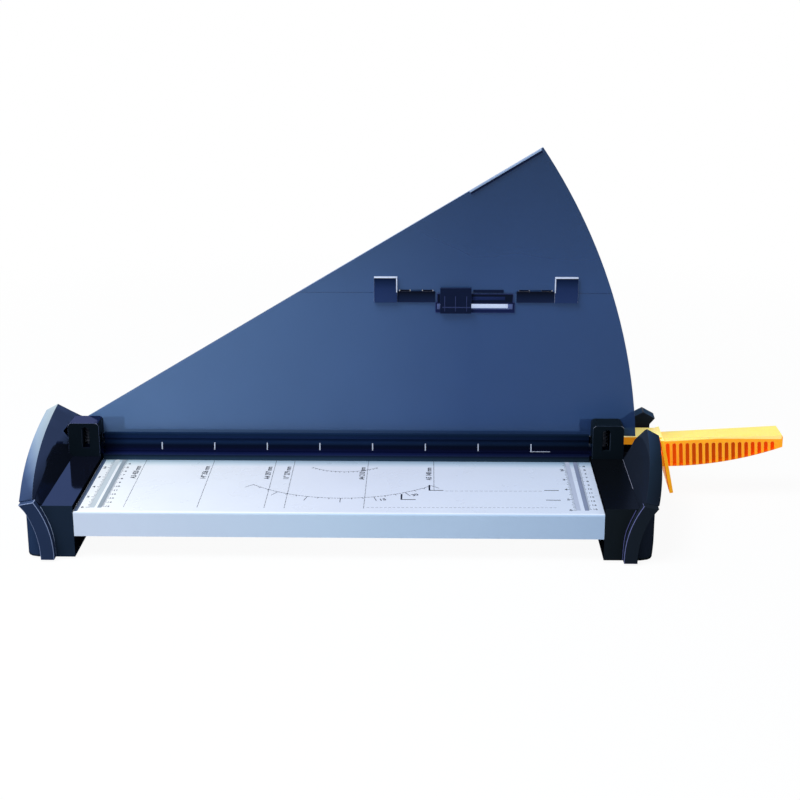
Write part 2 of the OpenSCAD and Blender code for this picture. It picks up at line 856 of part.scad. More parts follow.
// Post at the right end
module post() {
    core_x = post_in_x + 4;
    core_w = post_w - 15.5;
    core_y = post_front_y + 3.5;
    core_d = guard_y - post_front_y - 8;
    difference() {
        upright(post_front_y, guard_y - post_front_y)
            post_outline();
        translate([core_x, core_y, block_top_z - cut])
            cube([core_w, core_d, post_core_z - block_top_z + cut]);
        translate([post_in_x - cut, core_y + 1, block_top_z - cut])
            cube([core_x - post_in_x + 2 * cut, core_d - 2,
                tongue_top_z + clamp_travel + 2 - block_top_z + cut]);
        upright(post_front_y - cut, core_y - post_front_y + 2 * cut)
            post_slot_outline();
        for (y = post_screw_ys)
            translate([post_screw_x, y, block_top_z - cut])
                cylinder(r = screw_r, h = 12 + cut);
        for (x = guard_screw_xs)
            rod_y(x, guard_y - 4, guard_screw_z, guard_screw_r, 4 + cut);
    }
}

// Front view of a post, with round top corners
module post_outline() {
    translate([post_in_x, block_top_z])
        square([post_w, post_top_z - block_top_z - post_round]);
    translate([post_in_x + post_round, block_top_z])
        square([post_w - 2 * post_round, post_top_z - block_top_z]);
    for (x = [post_in_x + post_round, post_out_x - post_round])
        translate([x, post_top_z - post_round])
            circle(r = post_round);
}

// Slot in a post's front, with a round top
module post_slot_outline() {
    slot_x = post_in_x + post_slot_in;
    slot_low_z = bed_top + post_slot_low;
    slot_top_z = bed_top + post_slot_high;
    translate([slot_x, slot_low_z])
        square([post_slot_w, slot_top_z - slot_low_z - post_slot_w / 2]);
    translate([slot_x + post_slot_w / 2, slot_top_z - post_slot_w / 2])
        circle(r = post_slot_w / 2);
}

module left_post() {
    color("midnightblue") placed()
        mirror([1, 0, 0])
            post();
}

module right_post() {
    color("midnightblue") placed()
        post();
}

module post_screws() {
    color("dimgray") placed()
        both_ends()
            for (y = post_screw_ys)
                screw_up(post_screw_x, y, block_top_z - block_wall - screw_head_h,
                    screw_head_h + block_wall + post_screw_grip);
}

module clamp_guide_rods() {
    color("silver") placed()
        both_ends()
            translate([rod_x_pos, rod_y_pos, rod_low_z])
                cylinder(r = rod_r, h = post_core_z - rod_low_z);
}

// Helical spring round a guide rod, its ends cut square by their height
spring_mean_r = rod_r + 1.6;
spring_sides = 6;
spring_steps = 8;
spring_low_z = tongue_top_z + clamp_rest_gap;
spring_len = post_core_z - spring_low_z;

spring_count = spring_turns * spring_steps;
spring_rise = spring_len - 2 * spring_wire_r;
function spring_point(i) = [
    spring_mean_r * cos(360 * i / spring_steps),
    spring_mean_r * sin(360 * i / spring_steps),
    spring_wire_r + spring_rise * i / spring_count];
spring_gap = min([for (i = [0 : spring_count - spring_steps])
    norm(spring_point(i + spring_steps) - spring_point(i))]) - 2 * spring_wire_r;
echo(least_gap_between_spring_turns = spring_gap);

module clamp_spring() {
    points = [for (i = [0 : spring_count])
        let (turn = 360 * i / spring_steps)
        for (k = [0 : spring_sides - 1])
            let (side = 360 * k / spring_sides + 30)
            spring_point(i) + spring_wire_r * [cos(side) * cos(turn), cos(side) * sin(turn), sin(side)]];
    side_faces = [for (i = [0 : spring_count - 1]) for (k = [0 : spring_sides - 1]) for (half = [0, 1])
        let (a = i * spring_sides + k)
        let (b = i * spring_sides + (k + 1) % spring_sides)
        half == 0 ? [a, b, b + spring_sides] : [a, b + spring_sides, a + spring_sides]];
    first_face = [[for (k = [spring_sides - 1 : -1 : 0]) k]];
    last_face = [[for (k = [0 : spring_sides - 1]) spring_count * spring_sides + k]];
    polyhedron(points = points, faces = concat(side_faces, first_face, last_face));
}

module clamp_springs() {
    color("silver") placed()
        both_ends()
            translate([rod_x_pos, rod_y_pos, spring_low_z])
                clamp_spring();
}

// Section of the clamp bar: lip, step, face and round crown
module clamp_profile() {
    low = bed_top + clamp_rest_gap;
    crown_r = 5;
    step_y = clamp_front_y + 8;
    translate([clamp_front_y, low])
        square([clamp_back_y - clamp_front_y, 5.2]);
    translate([step_y, low])
        square([clamp_back_y - step_y, 7]);
    polygon([[step_y, low], [step_y + 2.5, low + 14.7], [clamp_back_y - crown_r, low + clamp_h - 1.2],
        [clamp_back_y - crown_r, low]]);
    translate([clamp_back_y - crown_r - 0.01, low])
        square([crown_r + 0.01, clamp_h - crown_r]);
    translate([clamp_back_y - crown_r, low + clamp_h - crown_r])
        intersection() {
            circle(r = crown_r);
            translate([-crown_r / 2, 0])
                square([1.5 * crown_r, crown_r]);
        }
}

module clamp_bar() {
    color("navy") placed() {
        bar_x = post_in_x - clamp_end_gap;
        difference() {
            union() {
                translate([-bar_x, 0, 0])
                    rotate([90, 0, 90])
                        linear_extrude(2 * bar_x)
                            clamp_profile();
                both_ends()
                    translate([bar_x - 0.01, rod_y_pos - 5.3, tongue_z])
                        cube([rod_x_pos + 4.5 - bar_x, 10.6, tongue_h]);
            }
            both_ends()
                translate([rod_x_pos, rod_y_pos, tongue_z - cut])
                    cylinder(r = rod_r + rod_play, h = tongue_h + 2 * cut);
            translate([-bar_x + 6, rod_y_pos + 1, bed_top + clamp_rest_gap - cut])
                cube([2 * bar_x - 12, 6, cut + 1.2]);
        }
    }
}

module clamp_pad() {
    color("black") placed()
        translate([-(post_in_x - clamp_end_gap) + 6, rod_y_pos + 1, bed_top + clamp_rest_gap - 0.1])
            cube([2 * (post_in_x - clamp_end_gap) - 12, 6, 1.3]);
}

// Front view of the whole guard
module guard_outline() {
    low_z = bed_top + guard_low_z;
    intersection() {
        translate([pivot_x, pivot_z])
            circle(r = guard_r, $fn = 180);
        translate([-post_out_x - 1, low_z])
            square([2 * guard_r, guard_r]);
        translate([pivot_x, pivot_z])
            rotate(guard_slope)
                translate([-guard_r, guard_edge_offset - guard_r])
                    square([3 * guard_r, guard_r]);
    }
}

// Places of the hinges along the fold line
leaf_xs = [clip_left_x + clip_w, clip_right_x - clip_w - leaf_l];
barrel_l = leaf_l / 3;
barrel_gap = 0.3;
latch_mid_z = fold_line_z - clip_below - latch_h / 2;

// Room for the hinge barrels in the panels
module hinge_room() {
    for (x = leaf_xs)
        translate([x + 2, guard_y - cut, fold_line_z - barrel_r - 0.6])
            cube([leaf_l - 4, guard_t + 2 * cut, 2 * barrel_r + 1.2]);
}

module guard_lower_panel() {
    color("steelblue") placed()
        difference() {
            upright(guard_y, guard_t)
                intersection() {
                    guard_outline();
                    translate([-bed_w, 0])
                        square([3 * bed_w, fold_line_z - fold_gap / 2]);
                }
            hinge_room();
            latch_window();
            both_ends()
                for (x = guard_screw_xs)
                    rod_y(x, guard_y - cut, guard_screw_z, guard_screw_r, guard_t + 2 * cut);
        }
}

module guard_upper_panel() {
    color("steelblue") placed()
        difference() {
            union() {
                difference() {
                    upright(guard_y, guard_t)
                        intersection() {
                            guard_outline();
                            translate([-bed_w, fold_line_z + fold_gap / 2])
                                square([3 * bed_w, guard_r]);
                        }
                    hinge_room();
                }
                for (x = leaf_xs) {
                    rod_x(x + barrel_l + barrel_gap, fold_axis_y, fold_line_z,
                        barrel_r, barrel_l - 2 * barrel_gap);
                    translate([x + barrel_l + barrel_gap, guard_y + 0.8, fold_line_z])
                        cube([barrel_l - 2 * barrel_gap, guard_t - 0.8, barrel_r + 1]);
                }
                latch_tab();
            }
            for (x = leaf_xs)
                rod_x(x, fold_axis_y, fold_line_z, hinge_pin_r + hinge_play, leaf_l);
        }
}

// Raised tab on the upper panel that the slider drops over
latch_tab_in = 35;
latch_tab_w = 28;
latch_tab_t = 1.2;
latch_tab_h = 2.6;
module latch_tab() {
    translate([latch_left_x + latch_tab_in, guard_y - latch_tab_t, fold_line_z + 0.5])
        cube([latch_tab_w, latch_tab_t + cut, latch_tab_h]);
}

// Grip along the outer end of the guard's upper edge
module guard_edge_grip() {
    reach = sqrt(pow(guard_r, 2) - pow(guard_edge_offset, 2));
    color("midnightblue") placed()
        translate([pivot_x, 0, pivot_z])
            rotate([0, -guard_slope, 0])
                translate([reach - edge_grip_l - 2, guard_y - edge_grip_t,
                    guard_edge_offset - edge_grip_w])
                    cube([edge_grip_l, edge_grip_t, edge_grip_w]);
}

module guard_screws() {
    color("dimgray") placed()
        both_ends()
            for (x = guard_screw_xs) {
                rod_y(x, guard_back_y, guard_screw_z, guard_head_r, guard_head_h);
                rod_y(x, guard_y - 3.5, guard_screw_z, guard_screw_r, guard_t + 3.5);
            }
}

module guard_hinge_clips() {
    color("midnightblue") placed()
        for (x = [clip_left_x, clip_right_x - clip_w])
            difference() {
                translate([x, guard_y - clip_t, fold_line_z - clip_below])
                    cube([clip_w, clip_t, clip_below + clip_above]);
                flap_relief(x);
            }
}

// Clearance between a stop and the upper panel's front
module flap_relief(x) {
    translate([x - cut, guard_y - fold_gap, fold_line_z])
        cube([bed_w, fold_gap + cut, guard_r]);
}

module guard_hinge_leaves() {
    color("midnightblue") placed()
        for (x = leaf_xs)
            difference() {
                union() {
                    translate([x, guard_y - leaf_t, fold_line_z - clip_below])
                        cube([leaf_l, leaf_t, clip_below + 1.8]);
                    for (side_x = [x + 2.3, x + leaf_l - barrel_l]) {
                        rod_x(side_x, fold_axis_y, fold_line_z, barrel_r, barrel_l - 2.3);
                        translate([side_x, guard_y - leaf_t, fold_line_z - barrel_r])
                            cube([barrel_l - 2.3, fold_axis_y - guard_y + leaf_t - hinge_pin_r,
                                barrel_r + 1.2]);
                    }
                }
                rod_x(x - cut, fold_axis_y, fold_line_z, hinge_pin_r, leaf_l + 2 * cut);
                translate([x - cut, guard_y - fold_gap, fold_line_z + 1.3])
                    cube([leaf_l + 2 * cut, fold_gap + cut, barrel_r]);
            }
}

module guard_hinge_pins() {
    color("silver") placed()
        for (x = leaf_xs)
            rod_x(x + 2.3, fold_axis_y, fold_line_z, hinge_pin_r, leaf_l - 4.6);
}

// Slot through the latch's frame and the lower panel, as long as the slider's travel needs
slider_x = latch_left_x + 4.4;
window_mid_z = latch_mid_z + window_rise;
module latch_window() {
    translate([slider_x - 0.4, guard_y - latch_t - cut, window_mid_z - window_h / 2])
        cube([slider_w + slider_travel + 0.4, guard_t + latch_t + 2 * cut, window_h]);
}

module latch_frame() {
    color("midnightblue") placed()
        difference() {
            union() {
                translate([latch_left_x, guard_y - latch_t, latch_mid_z - latch_h / 2])
                    cube([latch_l, latch_t, latch_h]);
                translate([latch_left_x + 1.5, guard_y - latch_t, latch_mid_z + latch_h / 2])
                    cube([latch_l - 3, latch_t, clip_below - 0.5]);
            }
            latch_window();
        }
}

// Slider in front of the frame, with a key through the window
module latch_slider() {
    color("midnightblue") placed() {
        translate([slider_x, guard_y - latch_t - 0.2 - slider_t, latch_mid_z - latch_h / 2 - 0.2])
            cube([slider_w, slider_t, latch_h + clip_below + 5.7]);
        translate([slider_x + 0.2, guard_y - latch_t - 0.3, window_mid_z - window_h / 2 + 0.2])
            cube([10, latch_t + guard_t + 0.5, window_h - 0.4]);
    }
}

module rear_tie_bar() {
    color("silver") placed()
        difference() {
            translate([-block_in_x, tie_y, tie_z])
                cube([2 * block_in_x, tie_d, tie_h]);
            translate([-block_in_x + tie_sheet, tie_y + tie_sheet, tie_z - cut])
                cube([2 * (block_in_x - tie_sheet), tie_d - 2 * tie_sheet, tie_h - tie_sheet + cut]);
            both_ends()
                for (y = tie_screw_ys)
                    rod_x(block_in_x - tie_sheet - cut, y, tie_screw_z, screw_r, tie_sheet + 2 * cut);
        }
}

module tie_bar_screws() {
    color("dimgray") placed()
        both_ends()
            for (y = tie_screw_ys) {
                rod_x(block_in_x + block_wall, y, tie_screw_z, screw_head_r, screw_head_h);
                rod_x(block_in_x - tie_sheet - 4, y, tie_screw_z, screw_r, block_wall + tie_sheet + 4);
            }
}

module pivot_bolt() {
    color("silver") placed() {
        rod_y(pivot_x, slot_front_y - pivot_wall_t - 5, pivot_z, 8, 5);
        rod_y(pivot_x, slot_front_y - pivot_wall_t, pivot_z, pivot_bolt_r,
            slot_rear_y - slot_front_y + 2 * pivot_wall_t + 7);
    }
}

module pivot_nut() {
    color("silver") placed()
        translate([pivot_x, slot_rear_y + pivot_wall_t + 5, pivot_z])
            rotate([90, 0, 0])
                difference() {
                    cylinder(r = 8.5, h = 5, $fn = 6);
                    translate([0, 0, -cut])
                        cylinder(r = pivot_bolt_r, h = 5 + 2 * cut);
                }
}

module pivot_washers() {
    color("silver") placed()
        for (y = [slot_front_y, slot_rear_y - washer_t])
            difference() {
                rod_y(pivot_x, y, pivot_z, pivot_bolt_r + 5, washer_t);
                rod_y(pivot_x, y - cut, pivot_z, pivot_bolt_r, washer_t + 2 * cut);
            }
}

module arm_rest_pad() {
    color("black") placed()
        translate([rest_pad_x, rest_pad_y, slot_floor_z])
            cube([rest_pad_w, rest_pad_d, blade_low_z + 4 - 0.3 - slot_floor_z]);
}

// Corner of the arm's top that keeps inside the slot's outer wall when the arm is raised
raised_limit = 31;
arm_corner_rise = arm_top_z - pivot_z;
arm_corner_x = (arm_corner_rise * sin(raised_limit) - arm_end_r) / cos(raised_limit) + 1.5;
corner_dist = sqrt(pow(arm_corner_x, 2) + pow(arm_corner_rise, 2));
tangent_turn = atan2(arm_corner_rise, arm_corner_x) + acos(arm_end_r / corner_dist);

module blade_arm() {
    arm_right_x = bed_x + finger_guard_out - 8;
    color("dimgray") placed()
        difference() {
            union() {
                upright(web_y, web_t) {
                    translate([pivot_x, pivot_z])
                        circle(r = arm_end_r);
                    polygon([
                        [pivot_x, pivot_z],
                        [pivot_x, pivot_z - arm_end_r],
                        [pivot_x + 2 * arm_end_r, blade_low_z + 4],
                        [arm_right_x, blade_low_z + 4],
                        [arm_right_x, arm_top_z - 2],
                        [pivot_x + arm_corner_x, arm_top_z],
                        [pivot_x + arm_end_r * cos(tangent_turn),
                            pivot_z + arm_end_r * sin(tangent_turn)]]);
                }
                translate([pivot_x + 2 * arm_end_r, web_y, arm_top_z - 2 - flange_t])
                    cube([arm_right_x - pivot_x - 2 * arm_end_r, flange_d, flange_t]);
                rod_y(pivot_x, boss_front_y, pivot_z, arm_end_r, boss_back_y - boss_front_y);
            }
            rod_y(pivot_x, boss_front_y - cut, pivot_z, pivot_bolt_r + bush_wall,
                boss_back_y - boss_front_y + 2 * cut);
            for (x = blade_screw_xs)
                rod_y(x, web_y - cut, blade_screw_z, screw_r, web_t + 2 * cut);
            for (x = handle_screw_xs)
                rod_y(x, web_y + 1, handle_screw_z, screw_r, web_t);
        }
}

blade_screw_in = 20;
blade_screw_n = 6;
blade_screw_pitch = (bed_w - 2 * blade_screw_in) / (blade_screw_n - 1);
blade_screw_xs = [for (i = [0 : blade_screw_n - 1])
    blade_left_x + blade_screw_in + i * blade_screw_pitch];
blade_screw_z = bed_top + 4;

module pivot_bush() {
    color("goldenrod") placed()
        difference() {
            rod_y(pivot_x, boss_front_y, pivot_z, pivot_bolt_r + bush_wall, boss_back_y - boss_front_y);
            rod_y(pivot_x, boss_front_y - cut, pivot_z, pivot_bolt_r + bush_play,
                boss_back_y - boss_front_y + 2 * cut);
        }
}

module moving_blade() {
    color("gainsboro") placed()
        difference() {
            translate([blade_left_x, blade_y, blade_low_z])
                cube([blade_right_x - blade_left_x, blade_t, arm_top_z - 4 - blade_low_z]);
            for (x = blade_screw_xs)
                rod_y(x, blade_y + 0.8, blade_screw_z, screw_r, blade_t);
        }
}

module blade_screws() {
    color("dimgray") placed()
        for (x = blade_screw_xs) {
            rod_y(x, web_y + web_t, blade_screw_z, screw_head_r, screw_head_h);
            rod_y(x, blade_y + 1, blade_screw_z, screw_r, blade_t + web_t - 1);
        }
}

// Shape of the handle, from the block through the finger guard to the grip
block_x = bed_x + handle_start;
finger_guard_x = bed_x + finger_guard_out;
grip_x = finger_guard_x + finger_guard_t - 0.5;
grip_top_z = handle_top_z - 4.2;
grip_low_z = grip_top_z - grip_h;

// Height of the grip's underside at a place along it
function under_z(x) = grip_low_z + grip_under_r - sqrt(pow(grip_under_r, 2) - pow(x - grip_x, 2));
// Height of the grip's top at a place along it
function crest_z(x) = grip_top_z + grip_rise * (x - grip_x) / (grip_end_x - grip_x);

grip_corner = 1;
first_pocket_in = 4.7;
module grip_outline() {
    steps = 14;
    run = grip_end_x - grip_x;
    polygon(concat(
        [[grip_x, crest_z(grip_x)], [grip_end_x - grip_corner, crest_z(grip_end_x - grip_corner)],
            [grip_end_x, crest_z(grip_end_x) - 2 * grip_corner]],
        [for (i = [steps : -1 : 0]) [grip_x + run * i / steps, under_z(grip_x + run * i / steps)]]));
}

module grip_pockets() {
    r = pocket_w / 2;
    for (i = [0 : pocket_count - 1]) {
        x = grip_x + first_pocket_in + i * pocket_pitch;
        top = grip_top_z - pocket_roof - r + pocket_rise * (x - grip_x) / (grip_end_x - grip_x);
        upright(handle_front_y - cut, pocket_d + cut)
            translate([x, top])
                rotate(pocket_lean) {
                    circle(r = r);
                    translate([-r, grip_low_z - top - 2])
                        square([pocket_w, top - grip_low_z + 2]);
                }
    }
}

// Plate that keeps the fingers from the blade, leaning outwards
module finger_guard() {
    drop = handle_top_z - 3 - (bed_top - finger_guard_below);
    translate([finger_guard_x, 0, handle_top_z - 3])
        rotate([0, -finger_guard_lean, 0])
            rotate([90, 0, 90])
                linear_extrude(finger_guard_t)
                    polygon([[handle_front_y - 6, 1], [handle_front_y + handle_d + 2, 3],
                        [handle_front_y + handle_d + 2, 10 - drop], [handle_front_y - 6, -drop]]);
}

module handle_grip() {
    color("gold") placed()
        difference() {
            union() {
                translate([block_x, handle_front_y, handle_top_z - handle_block_h])
                    cube([finger_guard_x + 2 - block_x, handle_d, handle_block_h]);
                finger_guard();
                upright(handle_front_y, handle_d)
                    grip_outline();
            }
            grip_pockets();
            arm_socket();
            for (x = handle_screw_xs)
                rod_y(x, web_y + web_t - cut, handle_screw_z, screw_r, handle_d);
        }
}

// Room in the block for the end of the arm
socket_play = 0.15;
module arm_socket() {
    translate([block_x - cut, web_y, blade_low_z + 4])
        cube([finger_guard_out - 8 - handle_start + cut, web_t,
            arm_top_z - 2 - blade_low_z - 4 + socket_play]);
    translate([block_x - cut, web_y, arm_top_z - 2 - flange_t])
        cube([finger_guard_out - 8 - handle_start + cut, flange_d, flange_t]);
}

handle_screw_in = 10;
handle_screw_pitch = 12;
handle_screw_xs = [block_x + handle_screw_in, block_x + handle_screw_in + handle_screw_pitch];
handle_screw_z = bed_top + 4;

module handle_screws() {
    color("dimgray") placed()
        for (x = handle_screw_xs) {
            rod_y(x, handle_front_y + handle_d, handle_screw_z, screw_head_r, screw_head_h);
            rod_y(x, web_y + 1, handle_screw_z, screw_r, handle_front_y + handle_d - web_y - 1);
        }
}

bed_plate();
bed_rails();
bed_screws();
ledger_blade();
ledger_screws();
left_end_block();
right_end_block();
left_end_shell();
right_end_shell();
right_rear_shell();
left_front_fin();
right_front_fin();
shell_screws();
left_base_cover();
right_base_cover();
base_cover_screws();
rubber_feet();
left_post();
right_post();
post_screws();
clamp_guide_rods();
clamp_springs();
clamp_bar();
clamp_pad();
guard_lower_panel();
guard_screws();
guard_hinge_clips();
guard_hinge_leaves();
guard_hinge_pins();
latch_frame();
latch_slider();
guard_upper_panel();
guard_edge_grip();
rear_tie_bar();
tie_bar_screws();
pivot_bolt();
pivot_nut();
pivot_washers();
arm_rest_pad();
blade_arm();
pivot_bush();
moving_blade();
blade_screws();
handle_grip();
handle_screws();
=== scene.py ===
import json
import math

import bmesh
import bpy
from mathutils import Matrix, Vector
from mathutils.bvhtree import BVHTree

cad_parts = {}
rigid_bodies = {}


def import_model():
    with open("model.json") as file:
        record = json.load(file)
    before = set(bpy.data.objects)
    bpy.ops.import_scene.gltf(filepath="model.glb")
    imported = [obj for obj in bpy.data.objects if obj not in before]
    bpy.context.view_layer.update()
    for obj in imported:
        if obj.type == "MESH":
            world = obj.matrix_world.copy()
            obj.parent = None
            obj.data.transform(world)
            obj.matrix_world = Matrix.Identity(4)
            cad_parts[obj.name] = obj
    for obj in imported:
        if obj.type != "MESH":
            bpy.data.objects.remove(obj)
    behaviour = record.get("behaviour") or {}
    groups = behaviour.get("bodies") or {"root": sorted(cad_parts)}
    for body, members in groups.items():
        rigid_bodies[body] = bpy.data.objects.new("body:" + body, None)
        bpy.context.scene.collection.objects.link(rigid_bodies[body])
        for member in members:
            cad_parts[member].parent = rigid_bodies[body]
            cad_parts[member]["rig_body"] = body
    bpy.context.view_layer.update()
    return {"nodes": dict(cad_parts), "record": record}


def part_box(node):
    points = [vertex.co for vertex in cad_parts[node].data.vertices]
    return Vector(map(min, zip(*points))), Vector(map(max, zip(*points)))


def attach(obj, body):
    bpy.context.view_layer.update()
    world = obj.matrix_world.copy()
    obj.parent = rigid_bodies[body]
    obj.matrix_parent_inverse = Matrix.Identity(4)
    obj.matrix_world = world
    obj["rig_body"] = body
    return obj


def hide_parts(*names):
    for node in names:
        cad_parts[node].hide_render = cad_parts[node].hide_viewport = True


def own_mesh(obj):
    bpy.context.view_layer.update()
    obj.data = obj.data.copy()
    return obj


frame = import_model()
NODES = frame["nodes"]
SLOT_OF = {s["node"]: s["material_slot"] for s in frame["record"]["subparts"]}

# The drawing's millimetres: x from the middle of the bed, y from its front face, z from the feet
MM = 0.001
SHIFT_X = -58.6
SHIFT_Y = -121.0
TO_FRAME = Matrix.Translation((SHIFT_X * MM, SHIFT_Y * MM, 0.0)) @ Matrix.Scale(MM, 4)
ACROSS, DEEP, TALL = (1.0, 0.0, 0.0), (0.0, 1.0, 0.0), (0.0, 0.0, 1.0)
BED_TOP = 44.0
CUT_Y = 150.0
RIGHT_STOP_X = 231.5
BLOCK_TOP = 49.2
BLOCK_OUT_X = 260.4
GUARD_Y = 151.5
GUARD_SLOPE = math.radians(31.07)
HANDLE_FRONT_Y = 156.8
POCKET_D = 4.5
GRIP_X = 303.0
WHITE = (1.0, 1.0, 1.0)

# Every material by its name
LOOKS = {}

# Camera, at the photograph's place and angle
LENS, SENSOR = 72.04, 36.0
NEAREST, FARTHEST = 0.05, 60.0
CAMERA_PLACE = (0.0171, -1.4118, 0.5521)
CAMERA_TURN, CAMERA_DIP = 0.98625, 17.4275


def add_camera():
    data = bpy.data.cameras.new("camera")
    data.lens = LENS
    data.sensor_width = SENSOR
    data.clip_start = NEAREST
    data.clip_end = FARTHEST
    camera = bpy.data.objects.new("camera", data)
    turn = Matrix.Rotation(math.radians(CAMERA_TURN), 4, "Z")
    tilt = Matrix.Rotation(math.radians(90.0 - CAMERA_DIP), 4, "X")
    camera.matrix_world = Matrix.Translation(CAMERA_PLACE) @ turn @ tilt
    bpy.context.scene.collection.objects.link(camera)
    bpy.context.scene.camera = camera


# Node helpers
def new_node(tree, kind, **inputs):
    node = tree.nodes.new(kind)
    for name, value in inputs.items():
        node.inputs[name.replace("_", " ")].default_value = value
    return node


def noise_of(tree, coords, scale, detail=4.0, stretch=None):
    noise = new_node(tree, "ShaderNodeTexNoise", Scale=scale, Detail=detail)
    if stretch:
        mapping = new_node(tree, "ShaderNodeMapping", Scale=stretch)
        tree.links.new(coords, mapping.inputs["Vector"])
        coords = mapping.outputs["Vector"]
    tree.links.new(coords, noise.inputs["Vector"])
    return noise.outputs["Fac"]


def spread_of(tree, value, low, high, start=0.3, end=0.7):
    spread = new_node(tree, "ShaderNodeMapRange")
    for name, number in zip(("From Min", "From Max", "To Min", "To Max"), (start, end, low, high)):
        spread.inputs[name].default_value = number
    tree.links.new(value, spread.inputs["Value"])
    return spread.outputs["Result"]


def mix_colors(tree, factor, first, second, blend="MIX"):
    mix = tree.nodes.new("ShaderNodeMix")
    mix.data_type = "RGBA"
    mix.blend_type = blend
    for socket, value in ((mix.inputs[0], factor), (mix.inputs[6], first), (mix.inputs[7], second)):
        if isinstance(value, bpy.types.NodeSocket):
            tree.links.new(value, socket)
        else:
            socket.default_value = value
    return mix.outputs[2]


def rgba(color, gain=1.0):
    return tuple(min(1.0, c * gain) for c in color[:3]) + (1.0,)


# Linear colour from screen values of 0 to 255
def srgb(*color):
    parts = (c / 255 for c in color)
    return tuple(p / 12.92 if p <= 10 / 255 else ((p + 0.055) / 1.055) ** 2.4 for p in parts)


def shades(*stops):
    return [(at, srgb(*color)) for at, color in stops]


def start_material(name):
    material = bpy.data.materials.new(name)
    material.use_nodes = True
    tree = material.node_tree
    shader = tree.nodes["Principled BSDF"]
    coords = tree.nodes.new("ShaderNodeTexCoord").outputs["Object"]
    LOOKS[name] = material
    return material, tree, shader, coords


# Colour that changes along a direction of the drawing, from stops of place and colour
def graded(tree, coords, along, stops):
    line = tree.nodes.new("ShaderNodeVectorMath")
    line.operation = "DOT_PRODUCT"
    tree.links.new(coords, line.inputs[0])
    line.inputs[1].default_value = along
    shift = SHIFT_X * along[0] + SHIFT_Y * along[1]
    first, last = stops[0][0], stops[-1][0]
    place = spread_of(tree, line.outputs["Value"], 0.0, 1.0, (first + shift) * MM, (last + shift) * MM)
    ramp = tree.nodes.new("ShaderNodeValToRGB")
    elements = ramp.color_ramp.elements
    while len(elements) < len(stops):
        elements.new(0.5)
    for element, (at, color) in zip(elements, stops):
        element.position = (at - first) / (last - first)
    for element, (at, color) in zip(elements, stops):
        element.color = rgba(color)
    tree.links.new(place, ramp.inputs["Fac"])
    return ramp.outputs["Color"]


# A finish with patches of colour, fine grain, uneven gloss and edges worn lighter
RELIEF_DEPTH = 0.0002
GLOSS_SPREAD, GLOSSIEST = 0.06, 0.02
WORN_GAIN, WORN_FROM, WORN_TO = 1.8, 0.52, 0.62


def finish(name, color, rough, metallic=0.0, specular=0.5, vary=0.12, patch=25.0, grain=1400.0,
           bump=0.08, wear=0.0, stretch=None, grades=()):
    material, tree, shader, coords = start_material(name)
    patches = noise_of(tree, coords, patch, 5.0, stretch)
    tint = mix_colors(tree, spread_of(tree, patches, 0.0, 1.0),
                      rgba(color, 1.0 - vary), rgba(color, 1.0 + vary))
    for along, stops in grades:
        tint = mix_colors(tree, 1.0, tint, graded(tree, coords, along, stops), "MULTIPLY")
    edges = tree.nodes.new("ShaderNodeNewGeometry").outputs["Pointiness"]
    tint = mix_colors(tree, spread_of(tree, edges, 0.0, wear, WORN_FROM, WORN_TO),
                      tint, rgba(color, WORN_GAIN))
    tree.links.new(tint, shader.inputs["Base Color"])
    grains = noise_of(tree, coords, grain, 3.0, stretch)
    relief = new_node(tree, "ShaderNodeBump", Strength=bump, Distance=RELIEF_DEPTH)
    tree.links.new(grains, relief.inputs["Height"])
    tree.links.new(relief.outputs["Normal"], shader.inputs["Normal"])
    gloss = noise_of(tree, coords, patch * 3.0, 6.0, stretch)
    tree.links.new(spread_of(tree, gloss, max(GLOSSIEST, rough - GLOSS_SPREAD), rough + GLOSS_SPREAD),
                   shader.inputs["Roughness"])
    shader.inputs["Metallic"].default_value = metallic
    shader.inputs["Specular IOR Level"].default_value = specular
    return material


# Painted glow: an emission that makes a plastic brighter than its lamps light it, with a share of real
# subsurface scattering let a little way in from outside
LIGHT_DEPTH, LIGHT_SCALE = (1.0, 0.28, 0.05), 0.005


def glow_through(material, color, strength, weight):
    shader = material.node_tree.nodes["Principled BSDF"]
    shader.inputs["Subsurface Weight"].default_value = weight
    shader.inputs["Subsurface Radius"].default_value = LIGHT_DEPTH
    shader.inputs["Subsurface Scale"].default_value = LIGHT_SCALE
    shader.inputs["Emission Color"].default_value = rgba(color)
    shader.inputs["Emission Strength"].default_value = strength


# The handle's clear-coloured plastic, with a painted glow
def lucent(name, color, glow, strength, rough=0.36, specular=0.2, vary=0.04, patch=18.0, grades=()):
    plastic = finish(name, color, rough, vary=vary, patch=patch, bump=0.06, grain=1600.0,
                     specular=specular, grades=grades)
    glow_through(plastic, glow, strength, 0.3)


# Smooth plastic under a tinted mirror, which is stronger where it is seen at a slant. The grades dim the
# mirror's tint in places: painted shade and sheen in its reflection
SLANTS = (0.2, 0.8)


def polished(name, color, tint, head_on, slanted, rough, grades=(), vary=0.08, bump=0.01):
    tree = finish(name, color, 0.3, vary=vary, bump=bump, specular=0.0).node_tree
    coords = tree.nodes["Texture Coordinate"].outputs["Object"]
    mirror = new_node(tree, "ShaderNodeBsdfAnisotropic", Roughness=rough)
    mirror.inputs["Color"].default_value = rgba(tint)
    tinted = rgba(tint)
    for along, stops in grades:
        tinted = mix_colors(tree, 1.0, tinted, graded(tree, coords, along, stops), "MULTIPLY")
        tree.links.new(tinted, mirror.inputs["Color"])
    slant = tree.nodes.new("ShaderNodeLayerWeight").outputs["Facing"]
    blend = tree.nodes.new("ShaderNodeMixShader")
    tree.links.new(spread_of(tree, slant, head_on, slanted, *SLANTS), blend.inputs["Fac"])
    tree.links.new(tree.nodes["Principled BSDF"].outputs["BSDF"], blend.inputs[1])
    tree.links.new(mirror.outputs["BSDF"], blend.inputs[2])
    tree.links.new(blend.outputs["Shader"], tree.nodes["Material Output"].inputs["Surface"])
